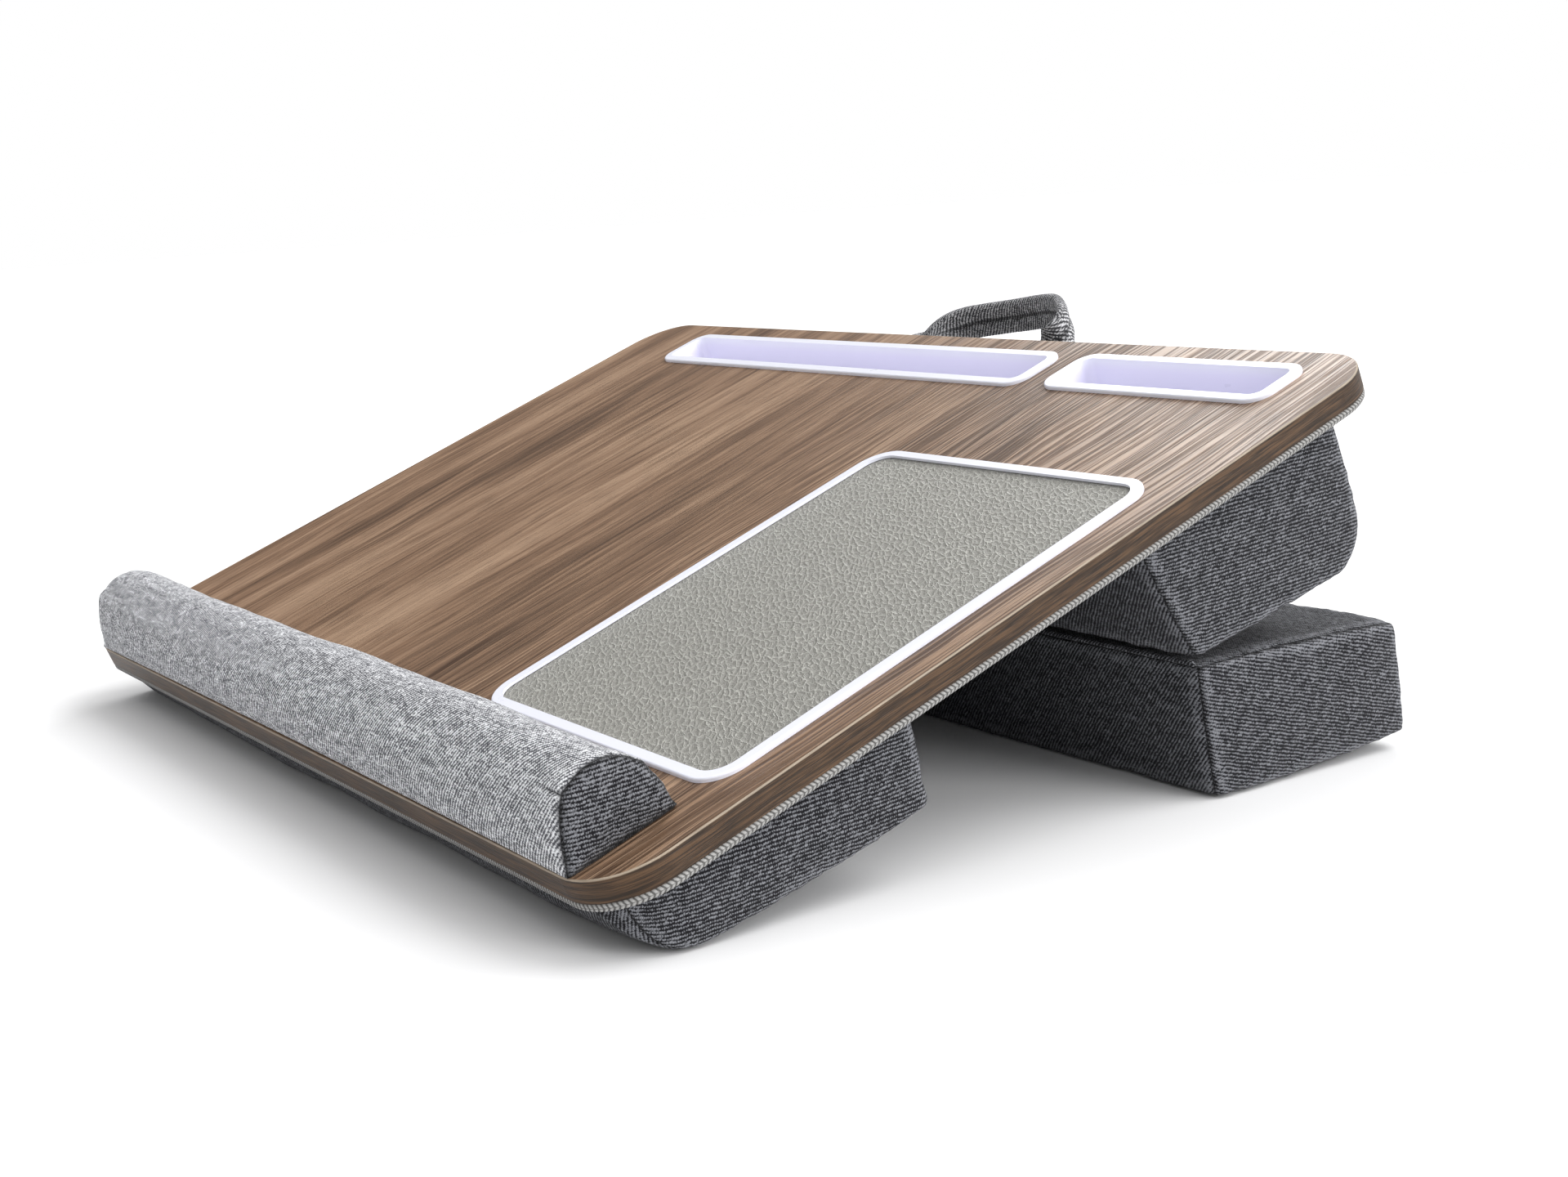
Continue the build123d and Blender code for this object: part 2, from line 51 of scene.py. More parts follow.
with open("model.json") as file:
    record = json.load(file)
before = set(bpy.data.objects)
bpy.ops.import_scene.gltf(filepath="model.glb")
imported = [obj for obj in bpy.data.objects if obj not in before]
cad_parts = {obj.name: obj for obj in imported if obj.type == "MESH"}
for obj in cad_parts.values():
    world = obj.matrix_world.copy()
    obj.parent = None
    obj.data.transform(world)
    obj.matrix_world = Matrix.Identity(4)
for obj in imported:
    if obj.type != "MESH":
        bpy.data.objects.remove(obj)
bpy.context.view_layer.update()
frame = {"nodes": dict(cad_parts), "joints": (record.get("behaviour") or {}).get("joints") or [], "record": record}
mm = 0.001

# Where the laptop's mount lies on the board, counted from the board's front edge
laptop_face_from_front = 185 * mm


def board_place():
    """Matrix of the board's own frame: X from its middle, Y from its front edge, Z up."""
    face = next(m for m in frame["record"]["mounts"] if m["name"] == "laptop_face")
    right, up = Vector((1, 0, 0)), Vector(face["axis"]).normalized()
    back = up.cross(right)
    origin = Vector((0, *face["pos_m"][1:])) - back * laptop_face_from_front
    place = Matrix((right, back, up)).transposed().to_4x4()
    place.translation = origin
    return place


board = board_place()
fold = next(j for j in frame["joints"] if j["name"] == "cushion_fold")
swing = next(j for j in frame["joints"] if j["name"] == "handle_swing")
fold_line = Vector(fold["pos_m"])
swing_line = Vector(swing["pos_m"])
board_depth, board_corner = 395 * mm, 28 * mm

# Undersides of the board's core and of the cloth glued below it, in the board's frame
core_level, cover_level = -9.6 * mm, -10.8 * mm

# How many stitches the bead's braid slants over half its girth
bead_slant = 1.6

# The strap's width at its roots, and how far they lie from the board's middle
strap_width, strap_middle = 26 * mm, 52 * mm


# Sizes and colours that a user would change


def number(name, description, value, **looks):
    """A number from 0 up for the settings."""
    return FloatProperty(name=name, description=description, default=value, min=0, **looks)


def length(name, description, value):
    """A length in metres for the settings."""
    return number(name, description, value, unit="LENGTH", precision=4)


def colour(name, description, value):
    """A linear colour for the settings."""
    return FloatVectorProperty(
        name=name, description=description, default=value, size=3, min=0, max=1, subtype="COLOR"
    )


class BoardFinish(bpy.types.PropertyGroup):
    """Colours of the wood-grain board and of what is let into it."""

    wood_dark: colour("Dark grain", "Darkest streaks of the wood grain", (0.062, 0.032, 0.017))
    wood_mid: colour("Main brown", "Main colour of the wood grain", (0.200, 0.118, 0.070))
    wood_light: colour("Light grain", "Lightest streaks of the wood grain", (0.360, 0.238, 0.155))
    edge_tone: colour("Edge brown", "Main colour of the edge strip", (0.050, 0.027, 0.013))
    plastic: colour("Plastic", "Colour of the tray rims and the pad's frame", (0.80, 0.81, 0.90))
    tray_inside: colour("Tray inside", "Colour of the tray walls", (0.75, 0.735, 0.83))
    leather: colour("Leather", "Colour of the mouse pad", (0.275, 0.270, 0.246))
    # The veins' colour is a painted highlight on their raised tops.
    vein_highlight: colour("Veins", "Colour of the leather's raised veins", (0.50, 0.495, 0.455))
    vein_spacing: length("Vein spacing", "Distance between the leather's veins", 2.5 * mm)


class FabricFinish(bpy.types.PropertyGroup):
    """Colours and weave of the fabrics."""

    cushion_dark: colour("Cushion ground", "Dark yarn of the cushions", (0.005, 0.005, 0.007))
    cushion_light: colour("Cushion flecks", "Light yarn of the cushions", (0.215, 0.220, 0.240))
    rest_dark: colour("Wrist rest ground", "Dark yarn of the wrist rest", (0.085, 0.087, 0.100))
    rest_light: colour("Wrist rest flecks", "Light yarn of the wrist rest", (0.90, 0.91, 0.94))
    bead_dark: colour("Bead ground", "Dark yarn of the edge's bead", (0.115, 0.112, 0.108))
    bead_light: colour("Bead flecks", "Light yarn of the edge's bead", (0.375, 0.37, 0.36))
    twill_pitch: length("Twill pitch", "Distance between the twill's diagonal lines", 1.45 * mm)
    bead_pitch: length("Bead stitch", "Length of one slanted stitch of the bead", 1.9 * mm)


class CushionForm(bpy.types.PropertyGroup):
    """Shape of the padded pieces."""

    draw_in: length("Draw-in", "How far the long seams draw in at mid-length", 0.8 * mm)
    seam_depth: length("Seam depth", "How deep the cloth dips into a seam", 1.4 * mm)
    pucker: length("Pucker", "Height of the puckers along a seam", 0.9 * mm)
    pucker_reach: length("Pucker reach", "How far the puckers run from a seam", 11 * mm)
    softness: length("Softness", "Height of the soft unevenness of the faces", 1.1 * mm)
    detail: IntProperty(
        name="Detail", description="Faces along a cushion's length", default=220, min=40, max=300
    )


class StageForm(bpy.types.PropertyGroup):
    """Camera, floor and light."""

    camera_place: FloatVectorProperty(
        name="Camera place",
        description="Where the camera stands",
        default=(0.85624, -0.50887, 0.25007),
        subtype="TRANSLATION",
        unit="LENGTH",
    )
    camera_turn: FloatVectorProperty(
        name="Camera turn",
        description="How the camera is turned",
        default=tuple(math.radians(a) for a in (79.105, 3.4104, 56.1616)),
        subtype="EULER",
    )
    lens: FloatProperty(name="Lens", description="Focal length in mm", default=48.863, min=10)
    floor: colour("Floor", "Colour of the floor", (0.88, 0.88, 0.885))
    key_power: number("Key light", "Strength of the key light", 1.35)
    sheen_power: number(
        "Sheen panel", "Power of the panel that the board's back corner mirrors", 18, unit="POWER"
    )
    sky: number("Sky", "Brightness of the sky at its brightest", 0.95)


class LapTraySettings(bpy.types.PropertyGroup):
    """All settings of the lap tray."""

    board: PointerProperty(type=BoardFinish)
    fabric: PointerProperty(type=FabricFinish)
    form: PointerProperty(type=CushionForm)
    stage: PointerProperty(type=StageForm)


def settings():
    """The scene's lap tray settings."""
    return bpy.context.scene.lap_tray


# Shader maths written as expressions


class Value:
    """A socket of a shader. Expressions on values add their own Math nodes."""

    def __init__(self, shader, socket):
        self.shader, self.socket = shader, socket

    def __add__(self, other):
        return self.shader.math("ADD", self, other)

    def __sub__(self, other):
        return self.shader.math("SUBTRACT", self, other)

    def __rsub__(self, other):
        return self.shader.math("SUBTRACT", other, self)

    def __mul__(self, other):
        return self.shader.math("MULTIPLY", self, other)

    def __truediv__(self, other):
        return self.shader.math("DIVIDE", self, other)

    __radd__ = __add__
    __rmul__ = __mul__


class Shader:
    """The nodes of a new material or, if one is given, of the world."""

    def __init__(self, name, world=None):
        self.owner = world or bpy.data.materials.new(name)
        self.owner.use_nodes = True
        self.tree = self.owner.node_tree
        self.tree.nodes.clear()

    def add(self, kind, settings=None, inputs=None, output=0):
        """Adds a node, makes its settings, then fills or links its sockets."""
        node = self.tree.nodes.new(kind)
        for key, value in (settings or {}).items():
            setattr(node, key, value)
        for key, value in (inputs or {}).items():
            if isinstance(value, Value):
                self.tree.links.new(value.socket, node.inputs[key])
            else:
                node.inputs[key].default_value = value
        return Value(self, node.outputs[output]) if node.outputs else None

    def math(self, operation, *values):
        return self.add("ShaderNodeMath", {"operation": operation}, dict(enumerate(values)))

    def wave(self, turns):
        """A sine of whole turns, from 0 to 1."""
        return self.math("SINE", turns * math.tau) * 0.5 + 0.5

    def mix(self, factor, first, second):
        """Mixes two colours, which are values or plain colours without alpha."""
        first, second = (v if isinstance(v, Value) else (*v, 1) for v in (first, second))
        kind = {"data_type": "RGBA", "clamp_factor": True}
        return self.add("ShaderNodeMix", kind, {0: factor, 6: first, 7: second}, output=2)

    def ramp(self, factor, turn, dark, middle, light):
        """A colour from dark at 0 over middle at turn to light at 1."""
        tone = self.add("ShaderNodeValToRGB", {}, {0: factor})
        stops = tone.socket.node.color_ramp.elements
        stops.new(turn)
        for stop, place, shade in zip(stops, (0.0, turn, 1.0), (dark, middle, light)):
            stop.position, stop.color = place, (*shade, 1)
        return tone

    def ease(self, value, low, high):
        """0 below low, 1 above high, smooth in between."""
        inputs = {"Value": value, "From Min": low, "From Max": high}
        return self.add("ShaderNodeMapRange", {"interpolation_type": "SMOOTHSTEP"}, inputs)

    def noise(self, vector, scale=1.0, detail=2.0, roughness=0.5):
        inputs = {"Vector": vector, "Scale": scale, "Detail": detail, "Roughness": roughness}
        return self.add("ShaderNodeTexNoise", {}, inputs)

    def axes(self, vector):
        parts = self.add("ShaderNodeSeparateXYZ", {}, {0: vector}).socket.node.outputs
        return [Value(self, part) for part in parts]

    def vector(self, x, y, z=0.0):
        return self.add("ShaderNodeCombineXYZ", {}, {0: x, 1: y, 2: z})

    def object_point(self):
        return self.add("ShaderNodeTexCoord", output="Object")

    def board_point(self):
        """The point in the board's own frame, in metres."""
        back = board.inverted()
        turn, shift = back.to_euler(), back.translation
        inputs = {"Vector": self.object_point(), "Rotation": turn, "Location": shift}
        return self.add("ShaderNodeMapping", {"vector_type": "POINT"}, inputs)

    def cloth_point(self):
        """The point on the cloth, in metres, from the piece's own UV map."""
        return self.add("ShaderNodeUVMap", {"uv_map": "weave"})

    def attribute(self, name):
        """A value that the piece's points carry."""
        return self.add("ShaderNodeAttribute", {"attribute_name": name}, output=2)

    def bump(self, height, distance, strength=1.0):
        inputs = {"Height": height, "Distance": distance, "Strength": strength}
        return self.add("ShaderNodeBump", {}, inputs)

    def finish(self, **inputs):
        """Puts the surface's shader on the material."""
        inputs = {key.replace("_", " "): value for key, value in inputs.items()}
        surface = self.add("ShaderNodeBsdfPrincipled", {}, inputs)
        self.add("ShaderNodeOutputMaterial", {}, {"Surface": surface})
        return self.owner


def scaled(tone, share):
    """A colour made darker or lighter."""
    return tuple(min(1, part * share) for part in tone)


# Materials


def wood_grain():
    """Walnut laminate: cloudy bands, long fibres and pressed pores, running front to back."""
    tones = settings().board
    s = Shader("walnut_laminate")
    x, y, _ = s.axes(s.board_point())
    wander = s.noise(s.vector(x * 7, y * 2.2), 1.0, 3, 0.5) - 0.5
    across = x + wander * 0.045

    def streaks(fineness, along, seed, detail, roughness):
        return s.noise(s.vector(across * fineness, y * along, seed), 1.0, detail, roughness)

    clouds = streaks(15, 2.4, 0.0, 4, 0.6)
    bands = streaks(62, 4.0, 3.0, 4, 0.62)
    fibres = streaks(330, 9.0, 7.0, 3, 0.6)
    pores = streaks(1300, 46.0, 11.0, 2, 0.5)
    ridge = s.ease(streaks(700, 9.0, 17.0, 2, 0.45), 0.42, 0.58)
    # The grain is smooth and cloudy at the left and coarse, in ridges, at the right. sheen marks the back right
    # corner, where the ridges get a painted highlight.
    coarse = s.ease(x + y * 0.10, -0.04, 0.17)
    sheen = s.ease(x * 0.75 + y, 0.24, 0.56)
    tone = s.ease(clouds * 0.42 + bands * 0.30 + fibres * 0.28, 0.37, 0.64)
    base = s.ramp(tone, 0.45, tones.wood_dark, tones.wood_mid, tones.wood_light)
    # Painted highlight: the ridges are painted paler, faintly everywhere, more at the right and most at the back
    # right corner, where they would catch the sheen.
    pale = scaled(tones.wood_light, 1.35)
    base = s.mix(ridge * (0.05 + coarse * 0.22 + sheen * 0.30), base, pale)
    base = s.mix((1 - ridge) * coarse * 0.46, base, tones.wood_dark)
    pits = s.ease(pores, 0.54, 0.66) * (0.42 + coarse * 0.20)
    base = s.mix(pits, base, tones.wood_dark)
    height = fibres * 0.35 + ridge * coarse * 1.3 - s.ease(pores, 0.52, 0.66) * 0.35
    return s.finish(
        Base_Color=base,
        Roughness=0.50 - coarse * 0.05 + (fibres - 0.5) * 0.22,
        Normal=s.bump(height, 0.00050, 0.9),
        Specular_IOR_Level=0.28,
        # The coat lies mainly on the ridges of the back right corner, to hold the sheen there.
        Coat_Weight=sheen * (0.12 + ridge * 0.88),
        Coat_Roughness=0.42,
    )


def wood_edge():
    """Edge strip: grain that runs along the board's edge, and a painted highlight along its top edge."""
    tone = settings().board.edge_tone
    s = Shader("walnut_edge")
    x, y, z = s.axes(s.board_point())
    wander = s.noise(s.vector(x * 9, y * 9), 1.0, 2, 0.5) - 0.5
    level = z + wander * 0.006
    fibres = s.noise(s.vector(x * 24, y * 24, level * 800), 1.0, 3, 0.6)
    streaks = s.noise(s.vector(x * 90, y * 90, level * 2300), 1.0, 2, 0.5)
    grain = s.ease(fibres * 0.6 + streaks * 0.4, 0.38, 0.62)
    base = s.ramp(grain, 0.5, scaled(tone, 0.40), tone, scaled(tone, 1.9))
    # Painted highlight: a pale line along the strip's top edge, where its rounded edge would catch the light.
    arris_highlight = s.ease(z, -0.0008, -0.0003)
    base = s.mix(arris_highlight * (0.35 + streaks * 0.6), base, (0.48, 0.40, 0.31))
    return s.finish(
        Base_Color=base,
        Roughness=0.45 + (streaks - 0.5) * 0.2,
        Normal=s.bump(fibres * 0.6 + streaks, 0.00030, 0.8),
        Specular_IOR_Level=0.28,
    )


def core_board():
    """Pressed fibreboard, seen only at the slots."""
    s = Shader("fibreboard")
    fibre = s.noise(s.object_point(), 900, 3, 0.6)
    base = s.mix(fibre, (0.30, 0.20, 0.12), (0.52, 0.38, 0.24))
    return s.finish(Base_Color=base, Roughness=0.85, Normal=s.bump(fibre, 0.0002, 0.5))


def glossy_plastic():
    """Moulded white plastic, a little darker on the walls inside the trays, with a faint flow texture and a faint
    painted glow that is stronger inside the trays.
    """
    tones = settings().board
    s = Shader("moulded_white")
    point = s.board_point()
    flow = s.noise(point, 55, 3, 0.5)
    inside = s.ease(s.axes(point)[2] * -1, -0.0012, 0.004)
    base = s.mix(inside, tones.plastic, tones.tray_inside)
    base = s.mix((flow - 0.4) * 0.10, base, (0.70, 0.70, 0.76))
    return s.finish(
        Base_Color=base,
        # Painted glow: a faint emission on all the plastic, stronger and bluer inside the trays, lightens the
        # walls that the rims shade.
        Emission_Color=s.mix(inside, (0.03, 0.03, 0.03), (0.05, 0.05, 0.10)),
        Emission_Strength=1.0,
        Roughness=0.24 + flow * 0.12,
        Normal=s.bump(s.noise(point, 1400, 2, 0.5), 0.00003, 0.4),
        Coat_Weight=0.25,
        Coat_Roughness=0.12,
    )


def grained_leather():
    """Grey leather with a maze of raised veins round small pebbles; the veins are painted pale as a highlight and
    the pebbles' hollow middles are painted darker as shade.
    """
    tones = settings().board
    s = Shader("grained_leather")
    point = s.board_point()
    x, y, _ = s.axes(point)
    warp = s.noise(point, 330, 2, 0.5) - 0.5
    warp_2 = s.noise(s.vector(y, x, 4.0), 330, 2, 0.5) - 0.5
    # Cells are longer towards the tray's left back corner than across it
    along = (x * -0.83 + y * 0.56) * 0.46 + warp * 0.0026
    across = x * 0.56 + y * 0.83 + warp_2 * 0.0026
    spot = s.vector(along, across)

    def cells(size):
        """Distance to the nearest edge of a cell."""
        kind = {"voronoi_dimensions": "2D", "feature": "DISTANCE_TO_EDGE"}
        inputs = {"Vector": spot, "Scale": size / tones.vein_spacing, "Randomness": 1.0}
        return s.add("ShaderNodeTexVoronoi", kind, inputs)

    pebble = cells(1.0)
    vein = 1 - s.ease(pebble, 0.02, 0.12)
    hair = (1 - s.ease(cells(1.9), 0.01, 0.11)) * 0.40
    patch = s.noise(point, 75, 3, 0.6)
    cover = s.math("MAXIMUM", vein, hair) * s.ease(patch, 0.16, 0.50)
    hollow = s.ease(pebble, 0.12, 0.42)
    # Painted shade: the hollow middles of the pebbles are painted darker.
    base = s.mix(hollow * 0.35, tones.leather, scaled(tones.leather, 0.75))
    # Painted highlight: the raised veins are painted pale.
    base = s.mix(cover * 0.75, base, tones.vein_highlight)
    base = s.mix(s.noise(point, 1500, 2, 0.5) * 0.25, base, (0.17, 0.165, 0.15))
    return s.finish(
        Base_Color=base,
        Roughness=0.55 - cover * 0.14,
        Normal=s.bump(cover * 0.8 - hollow * 0.35, 0.00055, 0.9),
        Specular_IOR_Level=0.35,
    )


def twill(name, ground, fleck, pitch, light_share=0.5, ribbed=0.95, mottle=1.0):
    """Heather twill: slanted ribs of mixed dark and light yarn on the cloth's own UV map.

    ribbed is how strongly the ribs show, and mottle how strongly the yarn's tone varies.
    """
    s = Shader(name)
    u, v, _ = s.axes(s.cloth_point())
    sway = (s.noise(s.vector(u, v), 170, 2, 0.5) - 0.5) * 0.0013
    ribs = s.wave((u * 0.77 + v * 0.64 + sway) / pitch)
    yarn_way = (v * 0.77 - u * 0.64 + sway) / (pitch * 0.62)
    yarns = s.math("SINE", yarn_way * math.tau + ribs * 1.4) * 0.5 + 0.5
    weave = ribs * (0.45 + yarns * 0.55)
    dashes = s.noise(s.vector(u * 0.30, v), 1500, 3, 0.65)
    threads = s.noise(s.vector(u, v * 0.30, 5.0), 1100, 2, 0.6)
    patch = s.noise(s.vector(u * 0.30, v, 9.0), 330, 3, 0.7)
    heather = (dashes - 0.5) * 2.4 + (threads - 0.5) * 1.3 + (patch - 0.5) * mottle
    # Beside the seams the cloth is painted lighter: a painted highlight on the puckers.
    pucker_highlight, seam = s.attribute("pucker_highlight"), s.attribute("seam")
    share = light_share - 0.55
    cover = s.ease(weave * ribbed + heather + pucker_highlight * 0.40 + share, 0.10, 0.92)
    base = s.mix(seam * 0.95, s.mix(cover, ground, fleck), scaled(ground, 0.25))
    return s.finish(
        Base_Color=base,
        Roughness=0.90 - cover * 0.12,
        Normal=s.bump(weave * 0.8 + dashes * 0.5 - seam * 0.8, 0.00050, 0.85),
        Specular_IOR_Level=0.20,
        Sheen_Weight=0.06,
        Sheen_Roughness=0.5,
    )


def cushion_twill(name, **looks):
    """The twill of the cushions."""
    cloth = settings().fabric
    return twill(name, cloth.cushion_dark, cloth.cushion_light, cloth.twill_pitch, **looks)


def twill_flat(name):
    """The cushions' cloth on a flat sheet of the board, mapped by its place on the board."""
    cloth = settings().fabric
    s = Shader(name)
    x, y, _ = s.axes(s.board_point())
    ribs = s.wave((x * 0.79 + y * 0.61) / cloth.twill_pitch)
    heather = s.noise(s.vector(x * 0.33, y), 1150, 2, 0.6)
    cover = s.ease(ribs * 0.5 + (heather - 0.5) * 1.9, 0.12, 0.95)
    base = s.mix(cover, cloth.cushion_dark, cloth.cushion_light)
    return s.finish(Base_Color=base, Roughness=0.9, Normal=s.bump(ribs + heather, 0.0004, 0.6))


def bead_braid():
    """Two-row braid: light slanted stitches with dark gaps, on the bead's own map."""
    cloth = settings().fabric
    s = Shader("edge_bead_braid")
    u, v, _ = s.axes(s.cloth_point())
    slope = 1 - s.math("ABSOLUTE", v * 2 - 1)
    stitch = s.math("ABSOLUTE", s.math("SINE", (u + slope * bead_slant) * math.pi))
    strand = s.noise(s.vector(u * 3.0, v * 60, 2.0), 1.0, 2, 0.5)
    row = s.ease(slope, 0.005, 0.06)
    cover = s.ease(stitch * 0.8 + (strand - 0.5) * 0.9, 0.22, 0.72) * (0.35 + row * 0.65)
    return s.finish(
        Base_Color=s.mix(cover, cloth.bead_dark, cloth.bead_light),
        Roughness=0.85,
        Normal=s.bump(stitch + strand * 0.4, 0.0004, 0.8),
        Specular_IOR_Level=0.2,
    )


def foam_block():
    """Open-cell foam."""
    s = Shader("open_cell_foam")
    cells = s.add("ShaderNodeTexVoronoi", {}, {"Vector": s.object_point(), "Scale": 900.0})
    base = s.mix(cells, (0.72, 0.68, 0.55), (0.50, 0.46, 0.34))
    return s.finish(Base_Color=base, Roughness=0.95, Normal=s.bump(cells, 0.0005, 0.6))


def hidden_sheet(name, tone):
    """Tape, backing and hook strips: a plain tone with a fine nap."""
    s = Shader(name)
    nap = s.noise(s.object_point(), 1500, 2, 0.6)
    base = s.mix(nap, scaled(tone, 0.6), scaled(tone, 1.5))
    return s.finish(Base_Color=base, Roughness=0.8, Normal=s.bump(nap, 0.0004, 0.7))


def floor_paint():
    """Matt studio floor with a barely seen mottle."""
    s = Shader("studio_floor")
    tone = settings().stage.floor
    cloud = s.noise(s.object_point(), 2.0, 2, 0.5)
    return s.finish(Base_Color=s.mix(cloud * 0.3, tone, scaled(tone, 0.97)), Roughness=0.75)


def wear(material, *nodes):
    """Puts a material on the objects of CAD nodes."""
    for node in nodes:
        mesh = frame["nodes"][node].data
        mesh.materials.clear()
        mesh.materials.append(material)


# Shapes


def block(cuts):
    """A box from -1 to 1 whose faces are cut into a grid, with each vertex's first place."""
    bm = bmesh.new()
    bmesh.ops.create_cube(bm, size=2)
    for axis, count in enumerate(cuts):
        along = [
            edge
            for edge in bm.edges
            if abs(edge.verts[0].co[axis] - edge.verts[1].co[axis]) > 1e-6
            and (edge.verts[0].co - edge.verts[1].co).length < 2.01
        ]
        bmesh.ops.subdivide_edges(bm, edges=along, cuts=count, use_grid_fill=True)
    bm.verts.index_update()
    return bm, [vert.co.copy() for vert in bm.verts]


def crowd(t, share):
    """Moves grid lines towards the ends of -1 to 1."""
    return (1 - share) * t + share * math.sin(t * math.pi / 2)


def map_points(bm, place):
    """Gives a shape its cloth's own map, by a function of each of its points."""
    weave = bm.loops.layers.uv.new("weave")
    for face in bm.faces:
        for loop in face.loops:
            loop[weave].uv = place(loop.vert)


def add_object(name, data, place=(0, 0, 0), turn=(0, 0, 0)):
    """A new object in the scene."""
    thing = bpy.data.objects.new(name, data)
    thing.location, thing.rotation_euler = place, turn
    bpy.context.scene.collection.objects.link(thing)
    return thing


def publish(bm, name, finishes, body, replaced):
    """Makes the object, gives it its finishes and lets it ride on its body."""
    mesh = bpy.data.meshes.new(name)
    bm.to_mesh(mesh)
    bm.free()
    mesh.shade_smooth()
    for material in finishes:
        mesh.materials.append(material)
    piece = add_object(name, mesh)
    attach(piece, body)
    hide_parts(*replaced)
    return piece


def clamped(share):
    """A share kept from 0 to 1."""
    return max(0.0, min(1.0, share))


def inset_corners(corners, depths):
    """Corners of a closed outline whose side k, from corner k on, moves inwards by depths[k]."""
    moved = []
    count = len(corners)
    for k, corner in enumerate(corners):
        before = (corner - corners[k - 1]).normalized()
        after = (corners[(k + 1) % count] - corner).normalized()
        cross = before.cross(after)
        first, second = depths[k - 1], depths[k]
        moved.append(corner + (after * first - before * second) / cross)
    return moved


SIDES = ("front", "bottom", "back", "top")


def side_of(v, w):
    """The side of the block's section that a point on its rim lies on."""
    if abs(v) >= abs(w):
        return "back" if v > 0 else "front"
    return "top" if w > 0 else "bottom"


def side_share(side, v, w):
    """How far round a side a point of the block's section lies, from 0 to 1."""
    return (1 + {"front": -w, "bottom": v, "back": w, "top": -v}[side]) / 2


class Section:
    """Closed outline across a cushion, whose straight sides bow out and whose seams draw in.

    Corners run down the front, along the bottom, up the back and along the top, in the plane
    of Y and Z. parts names the outline's sides that each side of the block becomes, one each if
    it isn't given. ends is the share of each side's bulge that is left at the sewn ends.
    """

    def __init__(self, corners, bulges, parts=None, ends=None, soft=0.0, seam_width=1.05):
        self.corners = [Vector(c) * mm for c in corners]
        self.soft = soft * mm
        self.seam_width = seam_width * mm
        self.bulges = [b * mm for b in bulges]
        self.parts = parts or {side: [k] for k, side in enumerate(SIDES)}
        self.ends = ends or (0.55,) * len(corners)
        self.cache = {}

    def station(self, share):
        """Corners and bulges at a share of the half length, and lengths of the sides."""
        key = round(share, 5)
        if key not in self.cache:
            draw = settings().form.draw_in * (1 - share**2)
            corners = inset_corners(self.corners, [draw if b else 0 for b in self.bulges])
            fall = abs(share) ** 5
            bulges = [b * (1 - fall * (1 - end)) for b, end in zip(self.bulges, self.ends)]
            following = corners[1:] + corners[:1]
            lengths = [(after - corner).length for corner, after in zip(corners, following)]
            self.cache[key] = corners, bulges, lengths
        return self.cache[key]

    def edge(self, share, walk):
        """Place on the outline after a walk round it from the first corner."""
        corners, bulges, lengths = self.station(share)
        walk %= sum(lengths)
        k = 0
        while k < len(lengths) - 1 and walk > lengths[k]:
            walk -= lengths[k]
            k += 1
        local = min(1.0, walk / lengths[k])
        start, end = corners[k], corners[(k + 1) % len(corners)]
        along = (end - start).normalized()
        out = Vector((along.y, -along.x))
        return start.lerp(end, local) + out * bulges[k] * 4 * local * (1 - local)

    def point(self, share, side, t):
        """Place on the outline and the length walked round to it.

        A soft section has rounded corners, apart from the sewn end at the right. Any other one
        has them only close to its ends.
        """
        lengths = self.station(share)[2]
        own = self.parts[side]
        walk = sum(lengths[: own[0]]) + t * sum(lengths[k] for k in own)
        if self.soft:
            radius = self.soft * (1 - clamped((share - 0.90) / 0.095) ** 2)
            radius = min(radius, *(abs(walk - sum(lengths[:k])) for k in (1, 2)))
        else:
            radius = 3.5 * mm * clamped((abs(share) - 0.94) / 0.06)
        if radius < 0.1 * mm:
            return self.edge(share, walk), walk
        steps = (-1.0, -0.6, -0.2, 0.2, 0.6, 1.0)
        around = [self.edge(share, walk + radius * step) for step in steps]
        return sum(around, Vector((0, 0))) / len(steps), walk


# Where a point of a cushion lies: in the block, round its outline, and from its edges
Spot = namedtuple("Spot", "u v w side walked to_rim to_end on_end")


def cushion(section, half, cuts, seams, seed, form, dome=2.4 * mm, crown=1.2 * mm):
    """A crowned, sewn cushion along X about the middle, still in the section's own frame.

    seams lists the corners of the block's section that carry a lengthwise seam.
    """
    bm, cube = block(cuts)
    middle = sum((section.point(0, side, 0.5)[0] for side in SIDES), Vector((0, 0))) / 4
    spots = []
    for vert, place in zip(bm.verts, cube):
        u, v, w = crowd(place.x, 0.72), crowd(place.y, 0.55), crowd(place.z, 0.55)
        radius = max(abs(v), abs(w))
        rim_v, rim_w = (v / radius, w / radius) if radius > 1e-9 else (1.0, 0.0)
        side = side_of(rim_v, rim_w)
        rim, walked = section.point(u, side, side_share(side, rim_v, rim_w))
        at = middle.lerp(rim, radius)
        to_rim, to_end = (rim - middle).length * (1 - radius), (1 - abs(u)) * half
        on_end = abs(place.x) > 1 - 1e-6
        x = u * half
        if on_end:
            rise = dome * (1 - math.exp(-to_rim / (2.6 * mm)))
            rise += crown * (1 - radius**2) * min(1, to_rim / (20 * mm))
            x += math.copysign(rise, u)
        vert.co = (x, at.x, at.y)
        spots.append(Spot(u, v, w, side, walked, to_rim, to_end, on_end))
    map_cloth(bm, cube, spots, section)
    sew(bm, spots, section, seams, seed, form)
    return bm


